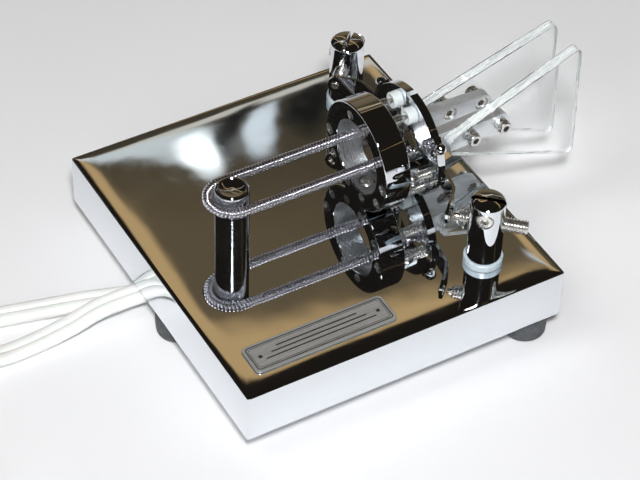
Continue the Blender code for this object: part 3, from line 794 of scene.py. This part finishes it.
def make_needles():
    needle = [(0, 0), (0.12, 0.1), (0.45, 0.9), (1.28, 3.1), (1.3, 3.3), (1.3, 13.6), (1.0, 13.9), (0, 13.9)]
    cup = [(0, 1.25), (0.3, 1.25), (1.7, 2.9), (2.3, 2.9), (2.35, 0.05)]
    cup += [(1.45, 0.05), (1.45, -1.5), (0, -1.5)]
    for name, side in SIDES.items():
        for level, z in BEARINGS.items():
            start = f"{name}_{level}"
            at, node = (side * PIVOT_X, -26.6, z), f"{start}_needle"
            pin = turned(f"{start}_needle_pin", needle, STEEL, "base", node, at, BACK, 32, round_by=0.1)
            local_hole(pin, 0.72, 12.4, 15.0, 6)
            at = (side * PIVOT_X, YOKE_REAR, z)
            body, node = f"{name}_lever", f"{start}_bearing_cup"
            turned(f"{start}_cup", cup, NYLON, body, node, at, BACK, 40, round_by=0.3)


def make_stop_screws():
    length = RING_REAR - YOKE_REAR
    collar = [(0, 4.3), (1.25, 4.3), (1.3, 4.8), (1.95, 5.2), (2.15, 5.9), (2.1, 6.9)]
    collar += [(1.75, length - 7.9), (0, length - 7.9)]
    stem = [(0, length - 8.0), (1.55, length - 8.0), (1.55, length - 0.5)]
    stem += [(1.3, length - 0.25), (0, length - 0.25)]
    for name, side in SIDES.items():
        at = (side * STOP_X, YOKE_REAR, STOP_Z)
        node = f"{name}_stop_screw"
        threaded(f"{name}_stop_thread", 1.6, 0.79, 0.4, 4.4, "base", node, at, BACK)
        turned(f"{name}_stop_collar", collar, STEEL, "base", node, at, BACK, 32, round_by=0.25)
        rear = turned(f"{name}_stop_stem", stem, STEEL, "base", node, at, BACK, 32, round_by=0.1)
        local_hole(rear, 0.8, length - 1.9, length + 1.0, 6)
        at = (side * RETAINER_X, YOKE_REAR, RETAINER_Z)
        node = f"{name}_retaining_screw"
        rod = threaded(f"{name}_retaining_thread", 1.42, 0.635, 0.4, length - 0.3, "base", node, at, BACK, 20)
        local_hole(rod, 0.7, length - 1.6, length + 1.0, 6)


SPRING_Z, SPRING_X, WIRE = 17.3, 6.5, 0.36
COIL_R, TURN, TURN_STEPS = 1.5 - WIRE, 0.93, 12
SPRING_POST_Y = 24.8


def coil_points(axis_point, frame_at, length):
    """Points on a helix round a path that is given by functions of the distance along it."""
    made = []
    for k in range(int(length / TURN * TURN_STEPS) + 1):
        s = k / TURN_STEPS * TURN
        centre, side, up = axis_point(s), *frame_at(s)
        angle = 2 * math.pi * k / TURN_STEPS
        made.append(centre + side * (COIL_R * math.cos(angle)) + up * (COIL_R * math.sin(angle)))
    return made


def wire(name, points, body=None):
    up = Vector((0.123, 0.31, 0.94)).normalized()
    bm = bmesh.new()
    rings = []
    for i, point in enumerate(points):
        along = (points[min(i + 1, len(points) - 1)] - points[max(i - 1, 0)]).normalized()
        up = (up - along * up.dot(along)).normalized()
        across = along.cross(up)
        rings.append([bm.verts.new(point + across * a + up * b) for a, b in circle(WIRE, 6)])
    skin(bm, rings)
    piece = make(name, bm, SPRING, sharp=80.0, weighted=False)
    if body:
        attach(piece, body)
    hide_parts("spring")
    return piece


def make_spring():
    post_y, loop = SPRING_POST_Y, SPRING_X
    up = Vector((0, 0, 1))
    split = -10.5
    straight = post_y - split
    bend = math.pi * loop
    total = 2 * straight + bend

    def place(s):
        if s < straight:
            return Vector((loop, split + s, SPRING_Z))
        if s < straight + bend:
            a = (s - straight) / loop
            return Vector((loop * math.cos(a), post_y + loop * math.sin(a), SPRING_Z))
        return Vector((-loop, post_y - (s - straight - bend), SPRING_Z))

    def frame_at(s):
        if s < straight:
            return Vector((1, 0, 0)), up
        if s < straight + bend:
            a = (s - straight) / loop
            return Vector((math.cos(a), math.sin(a), 0)), up
        return Vector((-1, 0, 0)), up

    points = coil_points(place, frame_at, total)
    wire("spring_loop", points, "base")
    for name, first, side in (("right", points[0], 1), ("left", points[-1], -1)):
        turns_out = []
        reach = split - (-22.6)
        close = int(reach / TURN * TURN_STEPS)
        start = math.atan2(first.z - SPRING_Z, (first.x - side * loop) * side)
        for k in range(close + 40):
            angle = start - side * 2 * math.pi * k / TURN_STEPS
            out, more = COIL_R, k - close
            y = split - min(k, close) / TURN_STEPS * TURN
            if more > 0:
                out = COIL_R * (1.0 - 0.25 * max(0.0, (more - 28) / 12))
                y -= more / TURN_STEPS * 1.15
            x, z = side * (loop + out * math.cos(angle)), SPRING_Z + out * math.sin(angle)
            turns_out.append(Vector((x, y, z)))
        tail = turns_out[-1]
        hook = [
            tail,
            Vector((side * (loop + 0.2), tail.y - 0.6, SPRING_Z + 0.1)),
            Vector((side * loop, YOKE_REAR + 0.4, SPRING_Z)),
            Vector((side * loop, YOKE_REAR - 1.4, SPRING_Z)),
        ]
        turns_out += smooth_path(hook, 0.4)[1:]
        leg = wire(f"{name}_spring_end", turns_out)
        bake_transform(leg)


def make_spring_post():
    profile = [(0, -9.9), (1.4, -9.9), (1.6, -9.6), (1.6, 0.02), (4.45, 0.02), (4.7, 0.25), (4.7, 19.6)]
    profile += [(4.62, 20.2), (4.2, 20.65), (3.7, 20.75), (3.4, 20.4), (2.2, 20.08), (0, 20.0)]
    turned("spring_post_body", profile, TURNED, "base", "spring_post", (0, SPRING_POST_Y, 0),
           segments=72, round_by=0.15)


make_ring()
make_ring_screw()
make_needles()
make_stop_screws()
make_spring()
make_spring_post()


# ---------------------------------------------------------------- levers
TOE = math.atan(0.039)
ARM_ANGLE = math.radians(27.6)
YOKE_INNER, YOKE_FOOT = 0.8, 0.6
BAR_X, BAR_HALF, FINGER_X, FINGER_THICKNESS = 3.95, 3.175, 7.1, 3.175
POST_X, POST_Y, POST_FOOT, POST_TOP = 36.3, -31.0, 2.24, 21.8
SCREW_Z, PINCH_Z = 14.0, 17.8


def rim_way(side):
    return Vector((side * math.cos(ARM_ANGLE), 0, math.sin(ARM_ANGLE)))


def screw_way(side):
    """The way a contact screw points out of its post."""
    plan = Vector((0.673, -0.739, 0.0)).normalized()
    return Vector((side * plan.x, plan.y, 0.0))


def make_yoke(name, side):
    inner = math.acos(YOKE_INNER / RING_R)
    low_angle = -math.asin((RING_Z - YOKE_FOOT) / RING_R)
    outline = []
    for k in range(65):
        angle = low_angle + (inner - low_angle) * k / 64
        outline.append((side * RING_R * math.cos(angle), RING_Z + RING_R * math.sin(angle)))
    outline.append((side * YOKE_INNER, YOKE_FOOT))
    bm = bmesh.new()
    add_prism(bm, outline, YOKE_FRONT, YOKE_REAR, "XZY")
    yoke = make(f"{name}_yoke_plate", bm, CHROME, f"{name}_lever", f"{name}_lever_yoke")
    tools = [hole(0.8, (side * SPRING_X, YOKE_REAR + 1, SPRING_Z), (side * SPRING_X, YOKE_FRONT - 1, SPRING_Z), 20)]
    for z in BEARINGS.values():
        tools.append(hole(1.6, (side * PIVOT_X, YOKE_REAR + 1, z), (side * PIVOT_X, YOKE_FRONT + 0.7, z), 24))
    middle = Vector((0, (YOKE_REAR + YOKE_FRONT) / 2, RING_Z))
    way = rim_way(side)
    tools.append(hole(0.72, tuple(middle + way * 11.5), tuple(middle + way * 18), 20))
    cut(yoke, *tools)
    bevel(yoke, 0.3, 3)

    screw = [(0, -3.9), (0.6, -3.9), (0.6, 0.95), (1.62, 0.95), (1.65, 1.35)]
    screw += [(1.5, 2.0), (1.15, 2.55), (0.6, 2.9), (0, 3.0)]
    at, body, node = tuple(middle + way * RING_R), f"{name}_lever", f"{name}_arm_screw"
    screw = turned(f"{name}_arm_screw_dome", screw, STEEL, body, node, at, tuple(way), 40, round_by=0.2)
    screw.data.materials[0] = CHROME
    local_hole(screw, 0.6, 2.2, 4.0, 6)


def make_edge_band(name, outline, half):
    """A thin skin round the edge of a finger piece, just outside it."""
    bm = bmesh.new()
    rings = []
    for grow, x in ((0.02, -half), (0.1, -half), (0.1, half), (0.02, half)):
        ring = []
        for i, (a, b) in enumerate(outline):
            before, after = Vector(outline[i - 1]), Vector(outline[(i + 1) % len(outline)])
            way = (after - before).normalized()
            out = Vector((-way.y, way.x)) * grow
            ring.append(bm.verts.new((x, a + out.x, b + out.y)))
        rings.append(ring)
    skin(bm, rings, closed=True)
    return make(name, bm, EDGE, sharp=40.0)


def make_handle(name, side):
    """Bar, finger piece and sleeves, built straight and then toed in about the same point as the CAD."""
    reference = -45.0
    half = BAR_HALF
    lever = f"{name}_lever"
    spin = Matrix.Rotation(-side * TOE, 4, "Z")

    def place(thing, x):
        thing.matrix_world = Matrix.Translation(key(side * x, reference, 0)) @ spin
        bpy.context.view_layer.update()
        return thing

    outline = [(YOKE_FRONT - 0.15 - reference, RING_Z - half)]
    for k in range(25):
        angle = -math.pi / 2 - math.pi * k / 24
        outline.append((-57.0 + half - reference + half * math.cos(angle), RING_Z + half * math.sin(angle)))
    outline.append((YOKE_FRONT - 0.15 - reference, RING_Z + half))
    bm = bmesh.new()
    add_prism(bm, outline, -1.5, 1.5, "YZX")
    bar = place(make(f"{name}_bar_blade", bm, NICKEL), BAR_X)

    corners = [(y - reference, z) for y, z in ((-36.2, 17.4), (-78.5, 32.8), (-79.6, -6.1), (-37.2, 12.3))]
    bm = bmesh.new()
    corners = rounded(corners, 1.5, 8)
    add_prism(bm, corners, -FINGER_THICKNESS / 2, FINGER_THICKNESS / 2, "YZX")
    finger = place(make(f"{name}_finger_plate", bm, ACRYLIC), FINGER_X)
    finger.visible_shadow = False
    edge = place(make_edge_band(f"{name}_finger_edge", corners, FINGER_THICKNESS / 2 - 0.3), FINGER_X)

    out = Vector((side * math.cos(TOE), -math.sin(TOE), 0.0))
    forward = Vector((-side * math.sin(TOE), -math.cos(TOE), 0.0))
    bar_tools, finger_tools = [], []
    for spot, y in (("front", -53.8), ("rear", -43.9)):
        along = (reference - y) / math.cos(TOE)
        foot = Vector((side * BAR_X, reference, 15.6)) + forward * along
        for tools in (bar_tools, finger_tools):
            tools.append(hole(2.0, tuple(foot - out * 4), tuple(foot + out * 8), 40))
        sleeve = [(0, -1.05), (1.75, -1.05), (1.9, -0.9), (1.9, 6.0), (1.7, 6.22), (0, 6.22)]
        node = f"{name}_{spot}_finger_screw"
        at = tuple(foot)
        screw = turned(f"{name}_{spot}_sleeve", sleeve, STEEL, lever, node, at, tuple(out), 40, round_by=0.1)
        local_hole(screw, 1.05, 3.4, 7.5, 6)
        local_hole(screw, 1.05, -2.0, 0.6, 6)
    cut(bar, *bar_tools)
    cut(finger, *finger_tools)
    bevel(bar, 0.3, 3)
    bevel(finger, 0.35, 3)
    pieces = (
        (bar, f"{name}_lever_bar", "nickel"),
        (finger, f"{name}_finger_piece", "clear_acrylic"),
        (edge, f"{name}_finger_piece", "clear_acrylic"),
    )
    for thing, node, slot in pieces:
        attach(thing, lever)
        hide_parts(node)


def make_arm(name, side):
    start, bend, end = Vector((16.35, -29.7)), Vector((24.4, -28.45)), Vector((30.95, -21.9))
    first, second = (bend - start).normalized(), (end - bend).normalized()
    middle = [start]
    turn_at, tip_radius = 1.6, 3.1
    for k in range(9):
        t = k / 8
        a = bend - first * turn_at
        b = bend + second * turn_at
        middle.append(a.lerp(bend, t).lerp(bend.lerp(b, t), t))
    for k in range(9):
        middle.append(end - second * (tip_radius - tip_radius * k / 8))
    lanes = ([], [])
    for i, point in enumerate(middle):
        way = (middle[min(i + 1, len(middle) - 1)] - middle[max(i - 1, 0)]).normalized()
        normal = Vector((-way.y, way.x))
        lanes[0].append(point + normal * 0.4)
        lanes[1].append(point - normal * 0.4)
    low, high = 11.0, 17.2
    bm = bmesh.new()
    columns = []
    for i, point in enumerate(middle):
        inset = 0.0
        left = (end - point).length
        if left < tip_radius:
            inset = tip_radius - math.sqrt(max(0.0, tip_radius**2 - (tip_radius - left) ** 2))
            inset = min(inset, 2.9)
        column = []
        for lane, z in ((0, low + inset), (0, high - inset), (1, high - inset), (1, low + inset)):
            p = lanes[lane][i]
            column.append(bm.verts.new((side * p.x, p.y, z)))
        columns.append(column)
    skin(bm, columns)
    arm = make(f"{name}_arm_strip", bm, CHROME, f"{name}_lever", f"{name}_contact_arm")

    inner, outer = RING_R + 0.1, RING_R + 0.9
    angles = [math.radians(-15.0 + 53.0 * k / 32) for k in range(33)]
    tab = [(side * inner * math.cos(a), RING_Z + inner * math.sin(a)) for a in angles]
    tab += [(side * outer * math.cos(a), RING_Z + outer * math.sin(a)) for a in reversed(angles)]
    bm = bmesh.new()
    add_prism(bm, tab, YOKE_FRONT + 0.1, YOKE_REAR - 0.1, "XZY")
    combine(arm, guide(bm), "UNION")

    centre = Vector((0, (YOKE_REAR + YOKE_FRONT) / 2, RING_Z))
    way = rim_way(side)
    inward = Vector((-side, 1.0, 0.0)).normalized()
    rivet_at = Vector((side * POST_X, POST_Y, SCREW_Z)) - screw_way(side) * 10.23
    cut(
        arm,
        hole(0.8, tuple(centre + way * 14.5), tuple(centre + way * 18.5), 24),
        hole(0.85, tuple(rivet_at - inward * 2), tuple(rivet_at + inward * 2), 24),
    )
    bevel(arm, 0.14, 2)
    rivet = [(0, -0.93), (0.8, -0.93), (1.2, -0.8), (1.4, -0.43), (0.75, -0.43), (0.75, 0.43), (1.2, 0.43)]
    rivet += [(1.15, 0.75), (0.7, 0.88), (0.45, 0.7), (0, 0.66)]
    body, node = f"{name}_lever", f"{name}_arm_contact"
    at, way = tuple(rivet_at), tuple(inward)
    turned(f"{name}_arm_rivet", rivet, SILVER, body, node, at, way, 32, round_by=0.08)


# ---------------------------------------------------------------- contact posts
def make_post(name, side):
    outward = screw_way(side)
    pinch = Vector((-side * outward.y, side * outward.x, 0.0))
    centre = Vector((side * POST_X, POST_Y, SCREW_Z))
    level = Vector((side * POST_X, POST_Y, PINCH_Z))
    height = POST_TOP - POST_FOOT
    profile = [(0, 0.02), (4.5, 0.02), (4.76, 0.25), (4.76, height - 1.1), (4.62, height - 0.6)]
    profile += [(4.25, height - 0.25), (3.6, height - 0.05), (2.0, height + 0.08), (0, height + 0.14)]
    at, node = (side * POST_X, POST_Y, POST_FOOT), f"{name}_contact_post"
    post = turned(f"{name}_post_body", profile, CHROME, "base", node, at, segments=96, round_by=0.1)
    bm = bmesh.new()
    add_prism(bm, [(-8, -0.55), (8, -0.55), (8, 0.55), (-8, 0.55)], 11.0, 24.0)
    slit = guide(bm)
    spin = Matrix.Rotation(math.atan2(outward.y, outward.x), 4, "Z")
    slit.matrix_world = Matrix.Translation(key(centre.x, centre.y, 0)) @ spin
    cut(
        post,
        slit,
        hole(2.2, tuple(centre - outward * 8), tuple(centre + outward * 8), 48),
        hole(1.3, tuple(level - pinch * 3.3), tuple(level + pinch * 4), 32),
        hole(2.42, tuple(level + pinch * 2.4), tuple(level + pinch * 7), 48),
    )
    bevel(post, 0.09, 2, 40)

    head = [(0, -2.9), (1.05, -2.9), (1.05, 2.5), (2.25, 2.5), (2.3, 4.3), (2.05, 4.62), (0, 4.62)]
    at, node = tuple(level), f"{name}_pinch_screw"
    head = turned(f"{name}_pinch_socket", head, STEEL, "base", node, at, tuple(pinch), 40)
    local_hole(head, 1.2, 3.1, 6.0, 6)

    ring = [(1.75, 2.22), (1.75, -2.4), (2.6, -2.4), (2.6, 0.02), (5.3, 0.02), (5.3, 2.22)]
    at, node = (side * POST_X, POST_Y, 0), f"{name}_post_insulator"
    turned(f"{name}_insulator_ring", ring, INSULATOR, "base", node, at, segments=64, closed=True, round_by=0.3)
    at, way, node = tuple(centre), tuple(outward), f"{name}_contact_screw"
    rod = threaded(f"{name}_contact_thread", 2.085, FINE_PITCH, -7.35, 11.0, f"{name}_contact_rod", node, at, way, 32)
    local_hole(rod, 1.0, 8.9, 12.0, 6)
    tip = [(0, -8.85), (0.75, -8.85), (0.98, -8.6), (0.98, -7.2), (0, -7.2)]
    body, node = f"{name}_contact_slide", f"{name}_contact_tip"
    turned(f"{name}_contact_point", tip, SILVER, body, node, at, way, 32, round_by=0.1)


for side_name, side_sign in SIDES.items():
    make_yoke(side_name, side_sign)
    make_handle(side_name, side_sign)
    make_arm(side_name, side_sign)
    make_post(side_name, side_sign)

# CAD nodes that stay, beneath the base, with finished materials.
for node_name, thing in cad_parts.items():
    if thing.hide_render:
        continue
    look = STEEL
    if "insulating" in node_name:
        look = INSULATOR
    if "clip" in node_name:
        look = NYLON
    if "inner_lead" in node_name:
        look = BLACK
    for place in thing.material_slots:
        place.material = look


# ---------------------------------------------------------------- floor, light, world
def make_floor():
    m = Nodes("pale_paper", (0.82, 0.82, 0.83), 0.0, 0.6)
    tone = m.noise(0.004, 3)
    m.color(m.ramp(tone, [(0.3, (0.79, 0.79, 0.80)), (0.7, (0.84, 0.84, 0.85))]))
    m.bump(m.noise(0.8, 4), 0.03, 0.0001)
    bm = bmesh.new()
    corners = [(-2, -2, 0), (2, -2, 0), (2, 2, 0), (-2, 2, 0)]
    bm.faces.new([bm.verts.new(c) for c in corners])
    mesh = bpy.data.meshes.new("floor")
    bm.to_mesh(mesh)
    bm.free()
    floor = bpy.data.objects.new("floor", mesh)
    floor.location = (0, 0, -0.0004)
    mesh.materials.append(m.material)
    scene.collection.objects.link(floor)


def area_light(name, direction, distance, size, power, color=(1, 1, 1)):
    data = bpy.data.lights.new(name, "AREA")
    data.shape = "DISK"
    data.size = size
    data.energy = power
    data.color = color
    lamp = bpy.data.objects.new(name, data)
    scene.collection.objects.link(lamp)
    way = Vector(direction).normalized()
    lamp.location = Vector((0, 0, 0.03)) + way * distance
    lamp.rotation_euler = way.to_track_quat("Z", "Y").to_euler()
    return lamp


def make_world():
    """A dark warm room, with pale and tan patches set where the top mirrors it to the main camera."""
    world = bpy.data.worlds.new("room")
    scene.world = world
    world.use_nodes = True
    tree = world.node_tree
    back = tree.nodes["Background"]
    coords = tree.nodes.new("ShaderNodeTexCoord").outputs["Generated"]

    def dot(vector, axis):
        node = tree.nodes.new("ShaderNodeVectorMath")
        node.operation = "DOT_PRODUCT"
        tree.links.new(vector, node.inputs[0])
        node.inputs[1].default_value = axis
        return node.outputs["Value"]

    def math_node(operation, a, b):
        node = tree.nodes.new("ShaderNodeMath")
        node.operation = operation
        for socket, value in zip(node.inputs, (a, b)):
            if isinstance(value, (int, float)):
                socket.default_value = value
            else:
                tree.links.new(value, socket)
        return node.outputs["Value"]

    def ramp(value, stops, ease=True):
        node = tree.nodes.new("ShaderNodeValToRGB")
        node.color_ramp.interpolation = "EASE" if ease else "LINEAR"
        elements = node.color_ramp.elements
        while len(elements) < len(stops):
            elements.new(0.5)
        for element, (place, color) in zip(elements, stops):
            element.position = place
            element.color = (*((color,) * 3 if isinstance(color, (int, float)) else color), 1.0)
        tree.links.new(value, node.inputs["Fac"])
        return node.outputs["Color"]

    def blend(kind, factor, a, b):
        node = tree.nodes.new("ShaderNodeMix")
        node.data_type = "RGBA"
        node.blend_type = kind
        if isinstance(factor, (int, float)):
            node.inputs["Factor"].default_value = factor
        else:
            tree.links.new(factor, node.inputs["Factor"])
        for label, value in (("A", a), ("B", b)):
            if isinstance(value, tuple):
                node.inputs[label].default_value = (*value, 1.0)
            else:
                tree.links.new(value, node.inputs[label])
        return node.outputs["Result"]

    # The patches are laid out about these axes, which are the main camera's right, up and ahead, fixed and
    # mirrored in the level top. They show in the top from there, and stay put when the view changes.
    mirror = [(-0.4957, -0.8681, -0.0257), (0.6147, -0.3297, -0.7165), (0.6136, -0.3710, 0.6971)]
    depth = dot(coords, mirror[2])
    safe = math_node("MAXIMUM", depth, 0.05)
    across = math_node("DIVIDE", dot(coords, mirror[0]), safe)
    rise = math_node("DIVIDE", dot(coords, mirror[1]), safe)
    noise = tree.nodes.new("ShaderNodeTexNoise")
    noise.inputs["Scale"].default_value = 14.0
    noise.inputs["Detail"].default_value = 3.0
    tree.links.new(coords, noise.inputs["Vector"])
    sway = math_node("MULTIPLY", math_node("SUBTRACT", noise.outputs["Fac"], 0.5), 0.035)
    across = math_node("ADD", across, sway)
    rise = math_node("ADD", rise, sway)

    def patch(a, b, wide, tall, soft):
        x = math_node("DIVIDE", math_node("SUBTRACT", across, a), wide)
        y = math_node("DIVIDE", math_node("SUBTRACT", rise, b), tall)
        square = math_node("ADD", math_node("MULTIPLY", x, x), math_node("MULTIPLY", y, y))
        reach = math_node("SQRT", square, 0.0)
        return ramp(reach, [(1.0 - soft, 1.0), (1.0, 0.0)])

    split = tree.nodes.new("ShaderNodeSeparateXYZ")
    tree.links.new(coords, split.inputs[0])
    room = ramp(
        split.outputs["Z"],
        [
            (0.0, (0.10, 0.10, 0.10)),
            (0.02, (0.42, 0.28, 0.13)),
            (0.07, (0.14, 0.09, 0.04)),
            (0.11, (0.014, 0.012, 0.009)),
            (0.60, (0.012, 0.011, 0.010)),
            (0.85, (0.05, 0.045, 0.04)),
            (1.0, (0.16, 0.15, 0.14)),
        ],
        ease=False,
    )
    clouds = tree.nodes.new("ShaderNodeTexNoise")
    clouds.inputs["Scale"].default_value = 1.9
    clouds.inputs["Detail"].default_value = 1.5
    tree.links.new(coords, clouds.inputs["Vector"])
    lit = ramp(clouds.outputs["Fac"], [(0.44, 0.0), (0.66, 0.75)])
    above = ramp(split.outputs["Z"], [(0.05, 0.0), (0.16, 1.0)], ease=False)
    room = blend("MIX", blend("MULTIPLY", 1.0, lit, above), room, (0.22, 0.17, 0.105))
    browns = [(0.0, (0.115, 0.086, 0.050)), (0.03, (0.075, 0.058, 0.035)), (0.06, (0.055, 0.046, 0.030))]
    wall = ramp(rise, browns, ease=False)
    seen = patch(0.0, 0.0, 0.32, 0.26, 0.45)
    color = blend("MIX", seen, room, wall)
    # Bands that run along the edges of the mirrored view.
    def slope(a, b):
        return math_node("ADD", math_node("MULTIPLY", across, a), math_node("MULTIPLY", rise, b))

    near, left = slope(0.369, -0.929), slope(-0.814, -0.58)
    front, far = slope(0.739, 0.674), slope(-0.342, 0.94)
    slanted = math_node("SUBTRACT", near, math_node("MULTIPLY", across, 0.2))
    tan, dark, pale = (0.50, 0.34, 0.16), (0.012, 0.010, 0.008), (0.6, 0.57, 0.5)
    for distance, stops, tone in (
        (slanted, [(0.022, 0.0), (0.032, 1.0)], tan),
        (left, [(0.060, 0.0), (0.070, 1.0)], tan),
        (left, [(0.090, 0.0), (0.096, 1.0)], dark),
        (near, [(0.046, 0.0), (0.051, 1.0)], dark),
        (front, [(0.066, 0.0), (0.072, 1.0), (0.085, 1.0), (0.090, 0.0)], tan),
        (far, [(0.066, 0.0), (0.070, 1.0), (0.082, 1.0), (0.086, 0.0)], pale),
    ):
        color = blend("MIX", ramp(distance, stops), color, tone)
    for a, b, wide, tall, soft, tone in (
        (-0.072, 0.043, 0.050, 0.014, 0.35, (0.62, 0.66, 0.66)),
        (-0.046, 0.036, 0.015, 0.013, 0.6, (1.8, 1.9, 1.9)),
        (-0.020, 0.049, 0.0075, 0.016, 0.6, (0.75, 0.82, 0.86)),
        (0.095, -0.004, 0.016, 0.006, 0.7, (0.55, 0.56, 0.54)),
        (-0.033, 0.052, 0.007, 0.022, 0.6, (0.014, 0.014, 0.013)),
        (-0.002, 0.058, 0.014, 0.018, 0.6, (0.012, 0.012, 0.011)),
    ):
        color = blend("MIX", patch(a, b, wide, tall, soft), color, tone)
    tree.links.new(color, back.inputs["Color"])
    back.inputs["Strength"].default_value = 1.0


make_floor()
make_world()
area_light("flash", (-0.552, 0.315, 0.772), 0.95, 0.13, 9.0, (0.985, 0.99, 1.0))
area_light("soft_left", (-0.75, 0.9, 0.8), 1.6, 0.9, 5.5, (0.96, 0.98, 1.0)).visible_glossy = False
area_light("soft_top", (0.1, 0.9, 1.4), 1.8, 0.8, 5.0, (1.0, 0.98, 0.95)).visible_glossy = False
scene.view_settings.view_transform = "Standard"
